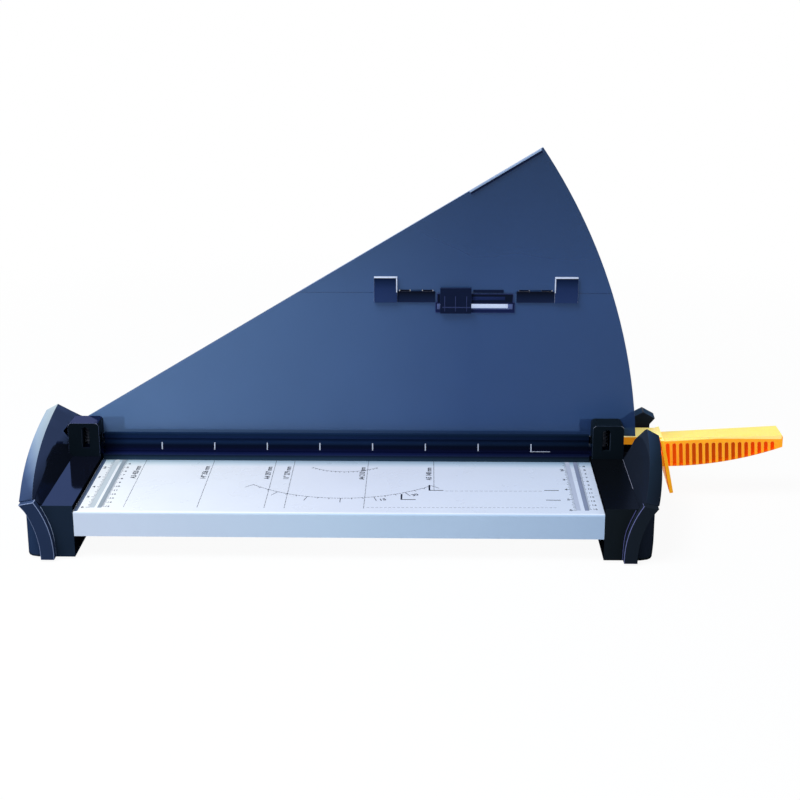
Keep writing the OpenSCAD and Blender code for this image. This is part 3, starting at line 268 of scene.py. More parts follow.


# Smoked sheet: tinted see-through plastic with painted light and shade, lighter at the lower left and deeper
# blue towards the right and the top
SMOKE_X, SMOKE_Z = (-0.30, 0.06), (0.20, 0.35)


def smoked(name, left, right, clear, clear_tint, top_gain, rough, specular):
    tree, shader, coords = start_material(name)[1:]
    split = tree.nodes.new("ShaderNodeSeparateXYZ")
    tree.links.new(coords, split.inputs["Vector"])
    across = spread_of(tree, split.outputs["X"], 0.0, 1.0, *SMOKE_X)
    upward = spread_of(tree, split.outputs["Z"], 1.0, top_gain, *SMOKE_Z)
    clouds = spread_of(tree, noise_of(tree, coords, 6.0, 3.0), 0.93, 1.07)
    tint = mix_colors(tree, across, rgba(left), rgba(right))
    for factor in (upward, clouds):
        join = tree.nodes.new("ShaderNodeCombineXYZ")
        for axis in join.inputs:
            tree.links.new(factor, axis)
        tint = mix_colors(tree, 1.0, tint, join.outputs["Vector"], "MULTIPLY")
    tree.links.new(tint, shader.inputs["Base Color"])
    tree.links.new(spread_of(tree, noise_of(tree, coords, 60.0, 6.0), rough - 0.03, rough + 0.03),
                   shader.inputs["Roughness"])
    relief = new_node(tree, "ShaderNodeBump", Strength=0.012, Distance=RELIEF_DEPTH)
    tree.links.new(noise_of(tree, coords, 20.0, 2.0), relief.inputs["Height"])
    tree.links.new(relief.outputs["Normal"], shader.inputs["Normal"])
    shader.inputs["Specular IOR Level"].default_value = specular
    see_through = new_node(tree, "ShaderNodeBsdfTransparent")
    tree.links.new(mix_colors(tree, across, rgba(clear_tint), rgba(clear_tint, 0.85)),
                   see_through.inputs["Color"])
    blend = new_node(tree, "ShaderNodeMixShader", Fac=clear)
    tree.links.new(shader.outputs["BSDF"], blend.inputs[1])
    tree.links.new(see_through.outputs["BSDF"], blend.inputs[2])
    tree.links.new(blend.outputs["Shader"], tree.nodes["Material Output"].inputs["Surface"])


# 1 for the rays that see the backdrop: from the camera, off gloss and through clear pieces
def backdrop_rays(tree):
    path = tree.nodes.new("ShaderNodeLightPath")
    value = path.outputs["Is Camera Ray"]
    for name in ("Is Glossy Ray", "Is Transmission Ray"):
        either = tree.nodes.new("ShaderNodeMath")
        either.operation = "MAXIMUM"
        tree.links.new(value, either.inputs[0])
        tree.links.new(path.outputs[name], either.inputs[1])
        value = either.outputs["Value"]
    return value


# Floor: its two shades as seen, its shade for other rays, and where it fades to white
FLOOR_DARK, FLOOR_LIGHT = (0.94, 0.94, 0.94, 1), (0.98, 0.98, 0.98, 1)
FLOOR_UNSEEN = (0.5, 0.51, 0.53, 1)
FADE = (0.5, 1.2)


def floor_material():
    material, tree, shader, coords = start_material("floor_paper")
    shader.inputs["Roughness"].default_value = 0.9
    shader.inputs["Specular IOR Level"].default_value = 0.0
    seen = backdrop_rays(tree)
    paper = mix_colors(tree, noise_of(tree, coords, 2.0), FLOOR_DARK, FLOOR_LIGHT)
    tree.links.new(mix_colors(tree, seen, FLOOR_UNSEEN, paper), shader.inputs["Base Color"])
    glow = new_node(tree, "ShaderNodeEmission", Color=(1, 1, 1, 1), Strength=1.0)
    away = tree.nodes.new("ShaderNodeVectorMath")
    away.operation = "LENGTH"
    tree.links.new(coords, away.inputs[0])
    part = tree.nodes.new("ShaderNodeMath")
    part.operation = "MULTIPLY"
    tree.links.new(seen, part.inputs[0])
    tree.links.new(spread_of(tree, away.outputs["Value"], 0.94, 1.0, *FADE), part.inputs[1])
    blend = tree.nodes.new("ShaderNodeMixShader")
    tree.links.new(part.outputs["Value"], blend.inputs["Fac"])
    tree.links.new(shader.outputs["BSDF"], blend.inputs[1])
    tree.links.new(glow.outputs["Emission"], blend.inputs[2])
    tree.links.new(blend.outputs["Shader"], tree.nodes["Material Output"].inputs["Surface"])
    return material


FLOOR_HALF, FLOOR_Z = 8.0, -0.0002


def add_floor():
    mesh = bpy.data.meshes.new("floor")
    mesh.from_pydata([(x * FLOOR_HALF, y * FLOOR_HALF, FLOOR_Z)
                      for x, y in ((-1, -1), (1, -1), (1, 1), (-1, 1))], [], [(0, 1, 2, 3)])
    floor = bpy.data.objects.new("floor", mesh)
    mesh.materials.append(floor_material())
    bpy.context.scene.collection.objects.link(floor)


ROOM_COLOR, ROOM_LIGHT = (0.86, 0.93, 1.0, 1), 0.32


def set_world():
    world = bpy.data.worlds.new("studio")
    world.use_nodes = True
    tree = world.node_tree
    room = tree.nodes["Background"]
    room.inputs["Color"].default_value = ROOM_COLOR
    room.inputs["Strength"].default_value = ROOM_LIGHT
    white = new_node(tree, "ShaderNodeBackground", Color=(1, 1, 1, 1), Strength=1.0)
    blend = tree.nodes.new("ShaderNodeMixShader")
    tree.links.new(backdrop_rays(tree), blend.inputs["Fac"])
    tree.links.new(room.outputs["Background"], blend.inputs[1])
    tree.links.new(white.outputs["Background"], blend.inputs[2])
    tree.links.new(blend.outputs["Shader"], tree.nodes["World Output"].inputs["Surface"])
    bpy.context.scene.world = world


def add_lamp(name, place, target, size, power, color):
    data = bpy.data.lights.new(name, "AREA")
    data.shape = "RECTANGLE"
    data.size, data.size_y = size
    data.energy = power
    data.color = color
    lamp = bpy.data.objects.new(name, data)
    lamp.location = place
    lamp.rotation_euler = (Vector(target) - Vector(place)).to_track_quat("-Z", "Y").to_euler()
    lamp.visible_camera = False
    bpy.context.scene.collection.objects.link(lamp)


# A mesh made into a visible piece, with its creases kept sharp
CREASE = math.radians(35.0)


def add_piece(name, mesh, body, slot, *looks):
    kinds = [p.material_index for p in mesh.polygons]
    mesh.polygons.foreach_set("use_smooth", [True] * len(mesh.polygons))
    mesh.set_sharp_from_angle(angle=CREASE)
    mesh.materials.clear()
    for look in looks:
        mesh.materials.append(LOOKS[look])
    for polygon, kind in zip(mesh.polygons, kinds):
        polygon.material_index = min(kind, len(looks) - 1)
    piece = bpy.data.objects.new(name, mesh)
    bpy.context.scene.collection.objects.link(piece)
    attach(piece, body)
    return piece


def drawn(point):
    return Vector((point[0] / MM - SHIFT_X, point[1] / MM - SHIFT_Y, point[2] / MM))


def drawn_box(node):
    return [drawn(corner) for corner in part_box(node)]


def drawn_corners(node):
    return [drawn(NODES[node].matrix_world @ v.co) for v in NODES[node].data.vertices]


# Nodes with curved walls, which are smooth all over. On the others only faces smaller than
# FLAT_AREA are smooth, which are those of the rounded edges
LOFTED = ("left_end_shell", "right_end_shell", "right_rear_shell")
FLAT_AREA = 4e-5
MERGE_WITHIN = 2e-6
FLAT_ANGLE, ROUND_ANGLE = math.radians(0.6), math.radians(32.0)


# A copy of a CAD node with rounded edges, which stands for the node. The edges have their own
# look, mostly painted lighter as highlights, and so have the faces that a test picks by their place
# in the drawing and their normal, many of them painted light or shade
def dress(node, bevel):
    source, slot = NODES[node], SLOT_OF[node]
    shell = bmesh.new()
    shell.from_mesh(source.data)
    bmesh.ops.remove_doubles(shell, verts=shell.verts, dist=MERGE_WITHIN)
    if node not in LOFTED:
        bmesh.ops.dissolve_limit(shell, angle_limit=FLAT_ANGLE, verts=shell.verts,
                                 edges=shell.edges, use_dissolve_boundaries=False)
    for face in shell.faces:
        face.material_index = 0
    mesh = bpy.data.meshes.new(node + "_body")
    shell.to_mesh(mesh)
    shell.free()
    picks = PICKS.get(node, ())
    looks = [slot, EDGES_OF.get(node) or EDGES_OF.get(slot, slot)] + [pick[0] for pick in picks]
    for look in looks:
        mesh.materials.append(LOOKS[look])
    work = bpy.data.objects.new("work", mesh)
    bpy.context.scene.collection.objects.link(work)
    edge = work.modifiers.new("edge", "BEVEL")
    edge.width = bevel * MM
    edge.segments = 2
    edge.limit_method = "ANGLE"
    edge.angle_limit = ROUND_ANGLE
    edge.miter_outer = "MITER_ARC"
    edge.material = 1
    if node in LOFTED:
        soften = work.modifiers.new("soften", "WEIGHTED_NORMAL")
        soften.keep_sharp = True
    final = bpy.data.meshes.new_from_object(work.evaluated_get(bpy.context.evaluated_depsgraph_get()))
    bpy.data.objects.remove(work)
    for polygon in final.polygons:
        kind = polygon.material_index
        place = drawn(polygon.center)
        for k, (look, test, kinds) in enumerate(picks):
            if kind in kinds and test(place, polygon.normal):
                polygon.material_index = 2 + k
    piece = add_piece(node + "_dressed", final, source["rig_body"], slot, *looks)
    if node not in LOFTED:
        for polygon in final.polygons:
            polygon.use_smooth = polygon.area < FLAT_AREA
    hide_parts(node)


def paint(node, look):
    mesh = NODES[node].data
    for i in range(len(mesh.materials)):
        mesh.materials[i] = LOOKS[look]
    if not mesh.materials:
        mesh.materials.append(LOOKS[look])


# Faces between neighbouring rings of corners, with both ends closed
def skin_rings(shape, rings):
    for near, far in zip(rings, rings[1:]):
        for k in range(len(near)):
            j = (k + 1) % len(near)
            shape.faces.new((near[k], near[j], far[j], far[k]))
    shape.faces.new(rings[0][::-1])
    shape.faces.new(rings[-1])


# A shape in the drawing's millimetres, made into a piece
def place_shape(shape, name, body, slot, look):
    bmesh.ops.recalc_face_normals(shape, faces=shape.faces)
    mesh = bpy.data.meshes.new(name)
    shape.to_mesh(mesh)
    shape.free()
    mesh.transform(TO_FRAME)
    return add_piece(name, mesh, body, slot, look)


# Thin printed shapes, gathered on the bed's top
PRINT_SINK = 0.01
BOLDER = 0.02


class Print:
    def __init__(self, height=0.05):
        self.shape = bmesh.new()
        self.height = height

    def prism(self, outline):
        levels = (BED_TOP - PRINT_SINK, BED_TOP + self.height)
        skin_rings(self.shape, [[self.shape.verts.new((x, y, z)) for x, y in outline] for z in levels])

    def box(self, x0, x1, y0, y1):
        self.prism([(x0, y0), (x1, y0), (x1, y1), (x0, y1)])

    def line(self, start, end, width):
        a, b = Vector(start), Vector(end)
        side = (b - a).normalized().orthogonal() * (width / 2)
        self.prism([tuple(a - side), tuple(b - side), tuple(b + side), tuple(a + side)][::-1])

    def dashes(self, start, end, width, dash, gap):
        a, b = Vector(start), Vector(end)
        length = (b - a).length
        along = (b - a) / length
        at = 0.0
        while at < length:
            self.line(a + along * at, a + along * min(at + dash, length), width)
            at += dash + gap

    def number(self, text, x, y, size, turn=0.0):
        curve = bpy.data.curves.new("digits", "FONT")
        curve.body = text
        curve.size = size
        curve.align_x = "CENTER"
        curve.align_y = "CENTER"
        curve.extrude = self.height / 2
        curve.offset = size * BOLDER
        work = bpy.data.objects.new("digits", curve)
        bpy.context.scene.collection.objects.link(work)
        digits = bpy.data.meshes.new_from_object(
            work.evaluated_get(bpy.context.evaluated_depsgraph_get()))
        digits.transform(Matrix.Translation((x, y, BED_TOP + self.height / 2))
                         @ Matrix.Rotation(math.radians(turn), 4, "Z"))
        self.shape.from_mesh(digits)
        bpy.data.objects.remove(work)
        bpy.data.meshes.remove(digits)


# Rulers at both sides of the bed: inches outside on the left, inside on the right.
# For each side: the inch numbers, the centimetre numbers and the edges of the pale and deep bands
RULERS = ((-224.2, -202.9, -218.3, -213.6, -211.2, -207.4), (201.9, 223.2, 206.3, 210.5, 214.0, 217.9))
INCH = 25.4
INCH_FRONT_Y, INCH_BACK_Y = 10.4, 133.0
CM_FRONT_Y = 12.6
INCH_TICKS = (3.6, 1.8, 2.4, 1.8, 3.0, 1.8, 2.4, 1.8)
CM_TICKS = (3.0, 2.0, 2.0, 2.0, 2.0)


def print_rulers(ink, pale, deep, fine):
    for inch_x, cm_x, pale_x0, pale_x1, deep_x0, deep_x1 in RULERS:
        pale.box(pale_x0, pale_x1, INCH_FRONT_Y - 0.8, CUT_Y)
        deep.box(deep_x0, deep_x1, INCH_FRONT_Y - 0.8, CUT_Y)
        for i in range(5):
            ink.number(str(6 - i), inch_x, INCH_FRONT_Y + i * INCH, 5.4 if i < 4 else 7.0)
        for i in range(12):
            ink.number(str(15 - i), cm_x, CM_FRONT_Y + i * 10.0, 4.2 if i < 10 else 5.0)
        for i in range(math.ceil((INCH_BACK_Y - INCH_FRONT_Y) * 8 / INCH)):
            y, end_x = INCH_FRONT_Y + i * INCH / 8, pale_x0 + 0.4
            fine.box(end_x - INCH_TICKS[i % 8], end_x, y - 0.45, y + 0.45)
        for i in range(61):
            y, start_x = CM_FRONT_Y + 2 * i, deep_x1 - 0.6
            fine.box(start_x, start_x + CM_TICKS[i % 5], y - 0.35, y + 0.35)


# Paper widths from the right stop, and the angle scale round the middle of the cut
PAPER = ((420.0, "A3 420 mm"), (355.6, "14\" 356 mm"), (297.0, "A4 297 mm"), (279.4, "11\" 279 mm"),
         (210.0, "A4 210 mm"), (148.5, "A5 148 mm"))
SCALE_R, SMALL_R = 114.0, 45.5
# Two corner marks, two short lines, and dotted lines with their dash and gap
CORNERS, CORNER_TALL, CORNER_WIDE = ((54.1, 33.8), (78.9, 57.1)), 13.6, 12.6
SHORT_X0, SHORT_X1, SHORT_Y = 182.0, 195.0, (58.6, 34.3)
DOTTED = (((93.0, 55.6), (181.0, 56.7), 3.0, 1.4), ((24.0, 13.9), (190.0, 16.0), 2.4, 1.4))


def on_arc(radius, degrees):
    turn = math.radians(degrees)
    return radius * math.sin(turn), CUT_Y - radius * math.cos(turn)


def print_guides(ink):
    for width, label in PAPER:
        x = RIGHT_STOP_X - width
        ink.dashes((x, 12.0 if width > 200.0 else 58.0), (x, CUT_Y), 0.62, 2.0, 1.5)
        ink.number(label, x - 4.4, 100.5, 7.0, 90.0)
    for radius, reach, width, step in ((SCALE_R, 45.0, 0.7, 1.5), (SMALL_R, 41.0, 0.6, 3.0)):
        for i in range(math.ceil(2 * reach / step)):
            turn = i * step - reach
            ink.line(on_arc(radius, turn), on_arc(radius, turn + step * 0.8), width)
    for turn in range(-45, 46, 5):
        ink.line(on_arc(SCALE_R, turn), on_arc(SCALE_R + (2.6 if turn % 15 else 10.0), turn), 0.6)
        if abs(turn) <= 40:
            ink.line(on_arc(SMALL_R, turn), on_arc(SMALL_R + 2.0, turn), 0.6)
    for turn in (15, 30):
        ink.number(str(turn), on_arc(SCALE_R + 4.0, turn)[0] + 7.0, on_arc(SCALE_R + 7.0, turn)[1],
                   6.4, turn)
    for x, y in CORNERS:
        ink.line((x, y), (x, y + CORNER_TALL), 1.5)
        ink.line((x - 0.7, y), (x + CORNER_WIDE, y), 1.3)
    for y in SHORT_Y:
        ink.line((SHORT_X0, y), (SHORT_X1, y), 1.2)
    for start, end, dash, gap in DOTTED:
        ink.dashes(start, end, 0.35, dash, gap)


def print_bed():
    finish("print_ink", srgb(18, 24, 42), 0.6, vary=0.2, bump=0.02, specular=0.2)
    finish("print_grey", srgb(96, 106, 120), 0.6, vary=0.12, bump=0.02, specular=0.2)
    # The ruler's bands are painted darker towards the right: painted shade, as on the bed
    finish("print_pale", WHITE, 0.55, vary=0.05, bump=0.02, specular=0.2,
           grades=((ACROSS, shades((-220, (198, 207, 213)), (212, (188, 196, 218)))),))
    finish("print_deep", WHITE, 0.55, vary=0.08, bump=0.02, specular=0.2,
           grades=((ACROSS, shades((-220, (154, 165, 175)), (212, (136, 146, 174)))),))
    # Painted shadow of the left end block's wall: a dark strip along the bed's left edge
    finish("bed_side_painted_shadow", srgb(72, 90, 120), 0.4, vary=0.1, bump=0.03)
    ink, fine, edge = Print(), Print(height=0.06), Print(height=0.03)
    pale, deep = Print(height=0.04), Print(height=0.04)
    print_rulers(ink, pale, deep, fine)
    print_guides(ink)
    # Painted shadow along the bed's left edge
    edge.box(-230.2, -226.8, 1.2, CUT_Y)
    for name, printed, look in (("bed_print_ink", ink, "print_ink"), ("bed_print_fine", fine, "print_grey"),
                                ("bed_print_pale", pale, "print_pale"),
                                ("bed_print_deep", deep, "print_deep"),
                                ("bed_side_painted_shadow", edge, "bed_side_painted_shadow")):
        place_shape(printed.shape, name, "base", "bed_enamel", look)


# Strip laid on the clamp bar's front, following its surface from one height to another
STRIP_PROUD, STRIP_SINK = 0.06, 0.02
PROBE_Y = -60.0


def strip_on(surface, shape, x, width, z0, z1, steps=8):
    rows = []
    for i in range(steps + 1):
        z = z0 + (z1 - z0) * i / steps
        hit = surface.ray_cast(TO_FRAME @ Vector((x, PROBE_Y, z)), Vector(DEEP))[0]
        if hit is None:
            continue
        y = hit.y / MM - SHIFT_Y
        rows.append([shape.verts.new((x + s * width / 2, y - d, z))
                     for s, d in ((-1, STRIP_PROUD), (1, STRIP_PROUD), (1, -STRIP_SINK), (-1, -STRIP_SINK))])
    skin_rings(shape, rows)


def mark_clamp():
    finish("clamp_mark_paint", srgb(196, 204, 222), 0.5, vary=0.1, bump=0.03)
    bar = NODES["clamp_bar"].data
    surface = BVHTree.FromPolygons([v.co[:] for v in bar.vertices], [p.vertices[:] for p in bar.polygons])
    marks = bmesh.new()
    for x in range(-175, 176, 50):
        strip_on(surface, marks, x, 1.0, BED_TOP + 7.6, BED_TOP + 14.4)
    strip_on(surface, marks, 183.5, 19.0, BED_TOP + 6.9, BED_TOP + 7.5, 1)
    place_shape(marks, "clamp_marks", "clamp_body", "clamp_smoke", "clamp_mark_paint")


# Small blocks with rounded edges, given by their corners in the drawing
def small_blocks(name, corners, body, slot, look, round_by):
    shape = bmesh.new()
    for low, high in corners:
        low, high = Vector(low), Vector(high)
        for vert in bmesh.ops.create_cube(shape, size=1.0)["verts"]:
            vert.co = Vector(a + (c + 0.5) * (b - a) for a, b, c in zip(low, high, vert.co))
    bmesh.ops.bevel(shape, geom=list(shape.edges), offset=round_by, segments=2, profile=0.5,
                    affect="EDGES")
    return place_shape(shape, name, body, slot, look)


# Half-round bead along a path on the front of the machine, coloured pale as a painted highlight
BEAD_W, BEAD_PROUD, BEAD_STEPS = 0.8, 0.45, 6
BEAD_Y = 0.05


def bead(name, path):
    shape = bmesh.new()
    rings = []
    for i, point in enumerate(path):
        ahead = Vector(path[min(i + 1, len(path) - 1)]) - Vector(path[max(i - 1, 0)])
        side = Vector((ahead.y, -ahead.x)).normalized() * (BEAD_W / 2)
        ring = []
        for k in range(BEAD_STEPS + 1):
            turn = math.pi * k / BEAD_STEPS
            reach, out = math.cos(turn), math.sin(turn) * BEAD_PROUD
            ring.append(shape.verts.new((point[0] + side.x * reach, BEAD_Y - out,
                                         point[1] + side.y * reach)))
        rings.append(ring)
    skin_rings(shape, rings)
    place_shape(shape, name, "base", "block_plastic", "front_bead_highlight")


# Flat slab on the front of a piece, from its outline across and up
def slab(name, outline, y0, y1, body, slot, look):
    shape = bmesh.new()
    skin_rings(shape, [[shape.verts.new((x, y, z)) for x, z in outline] for y in (y0, y1)])
    place_shape(shape, name, body, slot, look)


# Ridge of the shells, from the front to its peak
RIDGE_X, RIDGE_BOW, RIDGE_Z, RIDGE_PEAK_Z, RIDGE_PEAK_Y = 265.3, 21.0, 56.6, 77.4, 203.0
RIDGE_DIP, RIDGE_DIP_Y = 1.6, 25.0
KNEE_UP = 0.75


# Knee of the shell's wall: half way across from its foot to the ridge, and KNEE_UP of the way up
def ridge_knee(y, foot):
    part = y / RIDGE_PEAK_Y
    x = RIDGE_X + RIDGE_BOW * (1 - (1 - part) ** 2)
    z = RIDGE_Z + (RIDGE_PEAK_Z - RIDGE_Z) * part - RIDGE_DIP * max(0.0, 1 - y / RIDGE_DIP_Y) ** 2
    return (foot + x) / 2, BLOCK_TOP + KNEE_UP * (z - BLOCK_TOP)


# Lip at the foot of the left shell, over the block's edge
LIP_X, LIP_FRONT_Y, LIP_STEP, LIP_STEPS = 257.3, 1.0, 5.9, 25
LIP_GAP, LIP_HOLLOW = 0.02, 0.05


def add_lip():
    shape = bmesh.new()
    rings = []
    foot, floor = BLOCK_OUT_X + 0.1, BLOCK_TOP + LIP_GAP
    for i in range(LIP_STEPS + 1):
        y = LIP_FRONT_Y + i * LIP_STEP
        x, z = ridge_knee(y, foot)
        rings.append([shape.verts.new((-across, y, up)) for across, up in
                      ((LIP_X, floor), (foot, floor), (x + LIP_GAP, z),
                       ((LIP_X + x) / 2 - LIP_HOLLOW, (BLOCK_TOP + z) / 2))])
    skin_rings(shape, rings)
    place_shape(shape, "left_shell_lip", "base", "shell_plastic", "shell_wall_plastic")


def add_springs():
    source = NODES["clamp_springs"]
    coil = bmesh.new()
    coil.from_mesh(source.data)
    bmesh.ops.remove_doubles(coil, verts=coil.verts, dist=MERGE_WITHIN)
    mesh = bpy.data.meshes.new("clamp_springs_coiled")
    coil.to_mesh(mesh)
    coil.free()
    piece = add_piece("clamp_springs_coiled", mesh, source["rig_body"], SLOT_OF["clamp_springs"],
                      "blackened_steel")
    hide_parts("clamp_springs")
    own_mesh(piece)


# Edge of the fins, across and up from the bed's top, with its distance to the raised lines
FIN_LINE = ((259.0, 4.2), (256.9, -0.6), (255.0, -4.6), (253.1, -9.4), (251.2, -14.8), (250.0, -20.4),
            (249.2, -26.0), (248.8, -32.0), (248.6, -37.0), (248.5, -41.6))
LEFT_BEAD_IN, RIGHT_BEAD_IN, RIGHT_BEAD_LEAN, FIN_FOOT = 0.7, 1.1, 0.02, 42.0


def add_block_trim():
    bead("left_front_bead", [(LEFT_BEAD_IN - x, z + BED_TOP) for x, z in FIN_LINE])
    bead("right_front_bead", [(x - RIGHT_BEAD_IN - RIGHT_BEAD_LEAN * (z + FIN_FOOT), z + BED_TOP)
                              for x, z in FIN_LINE])
    # A seam at the foot of the right shell's wall, painted pale as a highlight
    small_blocks("right_wall_seam", [((BLOCK_OUT_X - 0.22, 50.0, BLOCK_TOP - 0.1),
                                      (BLOCK_OUT_X, 136.0, BLOCK_TOP + 0.16))],
                 "base", "shell_plastic", "wall_seam_highlight", 0.06)


# Slabs on the front of the handle and the arm: a dark plate on the arm, painted shade on the handle's
# block and a painted lit edge along the grip's top. For each: name, material slot, look, how far each
# stands out, and its outline
HANDLE_SLABS = (
    ("arm_side_plate", "arm_steel", "arm_side_steel", 0.3,
     ((262.3, 42.6), (292.0, 42.6), (292.0, 54.4), (262.3, 54.4))),
    ("handle_block_shade", "handle_yellow", "handle_shade_orange", 0.15,
     ((292.0, 42.8), (300.0, 42.8), (300.0, 59.5), (292.0, 59.5))),
    ("handle_top_edge", "handle_yellow", "handle_block_top", 0.08,
     ((303.5, 61.0), (413.6, 60.6), (413.9, 64.2), (303.5, 61.6))))
SLAB_SINK = 0.05
# Stretch of the grip's lower edge that closes the pockets, and a place past the finger guard
GRIP_FROM, GRIP_TO, GRIP_UNDER, PAST_GUARD_X = 302.5, 416.0, 59.5, 400.0
POCKET_FLOOR, POCKET_FLOOR_IN, POCKET_FLOOR_OUT = 1.2, 0.25, 4.6
# Strip of painted shade on the finger guard's inner side: a place on that side and its lean
FINGER_GUARD_X, FINGER_GUARD_Z, GUARD_LEAN = 298.29, 59.68, 0.2126
STRIP_TOP_Z, STRIP_FOOT_Z, STRIP_HALF = 58.0, 9.0, 0.06


def add_handle_trim():
    for name, slot, look, proud, outline in HANDLE_SLABS:
        slab(name, outline, HANDLE_FRONT_Y - proud, HANDLE_FRONT_Y + SLAB_SINK,
             "blade_arm_body", slot, look)
    places = drawn_corners("handle_grip")
    rear = max(p.y for p in places if p.x > PAST_GUARD_X)
    curve = sorted({(round(p.x, 3), round(p.z, 3)) for p in places
                    if abs(p.y - rear) < 0.05 and GRIP_FROM < p.x < GRIP_TO and p.z < GRIP_UNDER})
    # Floors of painted shade that close the grip's pockets
    slab("grip_pocket_floors", curve + [(x, z + POCKET_FLOOR) for x, z in reversed(curve)],
         HANDLE_FRONT_Y + POCKET_FLOOR_IN, HANDLE_FRONT_Y + POCKET_FLOOR_OUT,
         "blade_arm_body", "handle_yellow", "handle_pocket_orange")
    strip = [(FINGER_GUARD_X + GUARD_LEAN * (FINGER_GUARD_Z - z) + shift, z)
             for z, shift in ((STRIP_TOP_Z, -STRIP_HALF), (STRIP_TOP_Z, STRIP_HALF),
                              (STRIP_FOOT_Z, STRIP_HALF), (STRIP_FOOT_Z, -STRIP_HALF))]
    slab("finger_guard_shade", strip, HANDLE_FRONT_Y - 5.8, HANDLE_FRONT_Y + 0.6,
         "blade_arm_body", "handle_yellow", "handle_shade_orange")


# Ribs on the slider at parts of its width, and marks, ends and a film in the frame's window
RIB_PARTS, RIB_HALF = (0.148, 0.492, 0.849), 0.35
WINDOW_END_X0, WINDOW_END_X1 = 150.9, 155.1
FILM, FILM_RIM, FILM_SEAT = 0.08, 0.8, 0.24


def add_latch_trim():
    low, high = drawn_box("latch_slider")
    slider_x, slider_rear = low.x, high.y
    front, height, width = low.y, high.z - low.z, high.x - low.x
    ribs = []
    for part in RIB_PARTS:
        x = low.x + width * part
        ribs.append(((x - RIB_HALF, front - 0.35, low.z + 0.09 * height),
                     (x + RIB_HALF, front + 0.1, low.z + 0.68 * height)))
    ribs.append(((low.x + 2.0, front - 0.25, low.z + 0.225 * height),
                 (high.x - 0.4, front + 0.1, low.z + 0.265 * height)))
    small_blocks("latch_slider_ribs", ribs, "latch_body", "latch_plastic", "latch_rib", 0.12)
    low, high = drawn_box("latch_frame")
    small_blocks("latch_frame_strip", [((low.x + 33.0, low.y - 0.2, high.z - 6.0),
                                        (low.x + 64.5, low.y + 0.1, high.z - 2.6))],
                 "base", "latch_plastic", "latch_strip", 0.06)
    small_blocks("latch_window_ends",
                 [((WINDOW_END_X0, low.y - 0.1, low.z + 3.4),
                   (WINDOW_END_X1, low.y + 1.0, low.z + 8.3)),
                  ((slider_x - 2.8, low.y - 0.06, low.z + 3.2),
                   (slider_x - 0.04, low.y + 1.0, low.z + 8.5))],
                 "base", "latch_plastic", "latch_stop", 0.06)
    rear = slider_rear + 0.01
    x0, x1, z0, z1 = low.x + 2.0, low.x + 69.0, low.z + 2.2, low.z + 9.4
    film = [((x0, rear, z0), (x1, rear + FILM, z1))]
    for a, b, c, d in ((x0, x1, z0, z0 + FILM_RIM), (x0, x1, z1 - FILM_RIM, z1),
                       (x0, x0 + FILM_RIM, z0, z1), (x1 - FILM_RIM, x1, z0, z1)):
        film.append(((a, rear - FILM_SEAT, c), (b, rear + FILM, d)))
    piece = small_blocks("latch_window_film", film, "base", "guard_smoke", "window_film", 0.02)
    piece.data.materials.append(LOOKS["latch_stop"])
    for polygon in piece.data.polygons:
        polygon.material_index = int(polygon.normal.y > -0.5)


# Rims of the clips, along their top and their inner side, and of the guard's grip, painted pale as
# highlights
CLIP_W, CLIP_FRONT_Y, RIM_SIDE = 21.4, GUARD_Y - 3.5, 0.9


def add_guard_trim():
    low, high = drawn_box("guard_hinge_clips")
    rims = []
    for x, inner in ((low.x, low.x + CLIP_W - 1.0), (high.x - CLIP_W, high.x - CLIP_W)):
        rims.append(((x, CLIP_FRONT_Y - 0.15, high.z - 1.1), (x + CLIP_W, CLIP_FRONT_Y + 0.1, high.z)))
        rims.append(((inner, CLIP_FRONT_Y - 0.15, high.z - 14.5),
                     (inner + RIM_SIDE, CLIP_FRONT_Y + 0.1, high.z - 0.6)))
    small_blocks("guard_clip_rims", rims, NODES["guard_hinge_clips"]["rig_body"], "latch_plastic",
                 "clip_polished_rim", 0.07)
    along = Vector((math.cos(GUARD_SLOPE), math.sin(GUARD_SLOPE)))
    up = Vector((-math.sin(GUARD_SLOPE), math.cos(GUARD_SLOPE)))
    places = drawn_corners("guard_edge_grip")
    front = min(p.y for p in places)
    flat = [Vector((p.x, p.z)) for p in places]
    start, end = min(p.dot(along) for p in flat), max(p.dot(along) for p in flat)
    top = max(p.dot(up) for p in flat)
    corners = [along * s + up * t for s, t in
               ((start, top - 1.3), (end - 0.4, top - 1.3), (end, top - 0.9), (end, top - 0.05),
                (start, top - 0.05))]
    slab("guard_grip_rim", [tuple(c) for c in corners], front - 0.15, front + 0.05,
         "guard_flap_body", "latch_plastic", "guard_grip_rim")


# Colours that go from the left end of the machine to its right end, darker at the right: a painted shade of
# the light that falls from the left
END_X = 262.0


def across(left, right):
    return ((ACROSS, shades((-END_X, left), (END_X, right))),)


def bed_looks():
    # The bed's top is painted darker and bluer towards the right, a painted shade of the light from the
    # left, and darker still just in front of the clamp bar, partly a painted shadow and partly a painted
    # reflection of the bar
    finish("bed_enamel", WHITE, 0.3, vary=0.015, patch=8.0, grain=500.0, bump=0.03, specular=0.4,
           grades=((ACROSS, shades((-230, (252, 253, 255)), (-120, (246, 248, 255)),
                                   (0, (235, 238, 251)), (230, (228, 237, 255)))),
                   (DEEP, ((0, WHITE), (117, WHITE), (120.4, (0.90, 0.95, 0.96)),
                           (123.6, (0.78, 0.86, 0.89)), (127, (0.66, 0.76, 0.80)),
                           (130, (0.50, 0.62, 0.68)), (134, (0.40, 0.52, 0.60))))))
    # The bed's front: a shaded copy of the enamel, painted darker than the top and darker still towards the
    # right
    finish("bed_front_enamel", WHITE, 0.35, vary=0.02, patch=8.0, grain=500.0, bump=0.03, specular=0.2,
           grades=((ACROSS, shades((-230, (226, 236, 254)), (0, (210, 231, 253)),
                                   (230, (188, 212, 241)))),))
    finish("rubber", (0.018, 0.018, 0.020), 0.8, vary=0.25, bump=0.4, grain=900.0, specular=0.1)


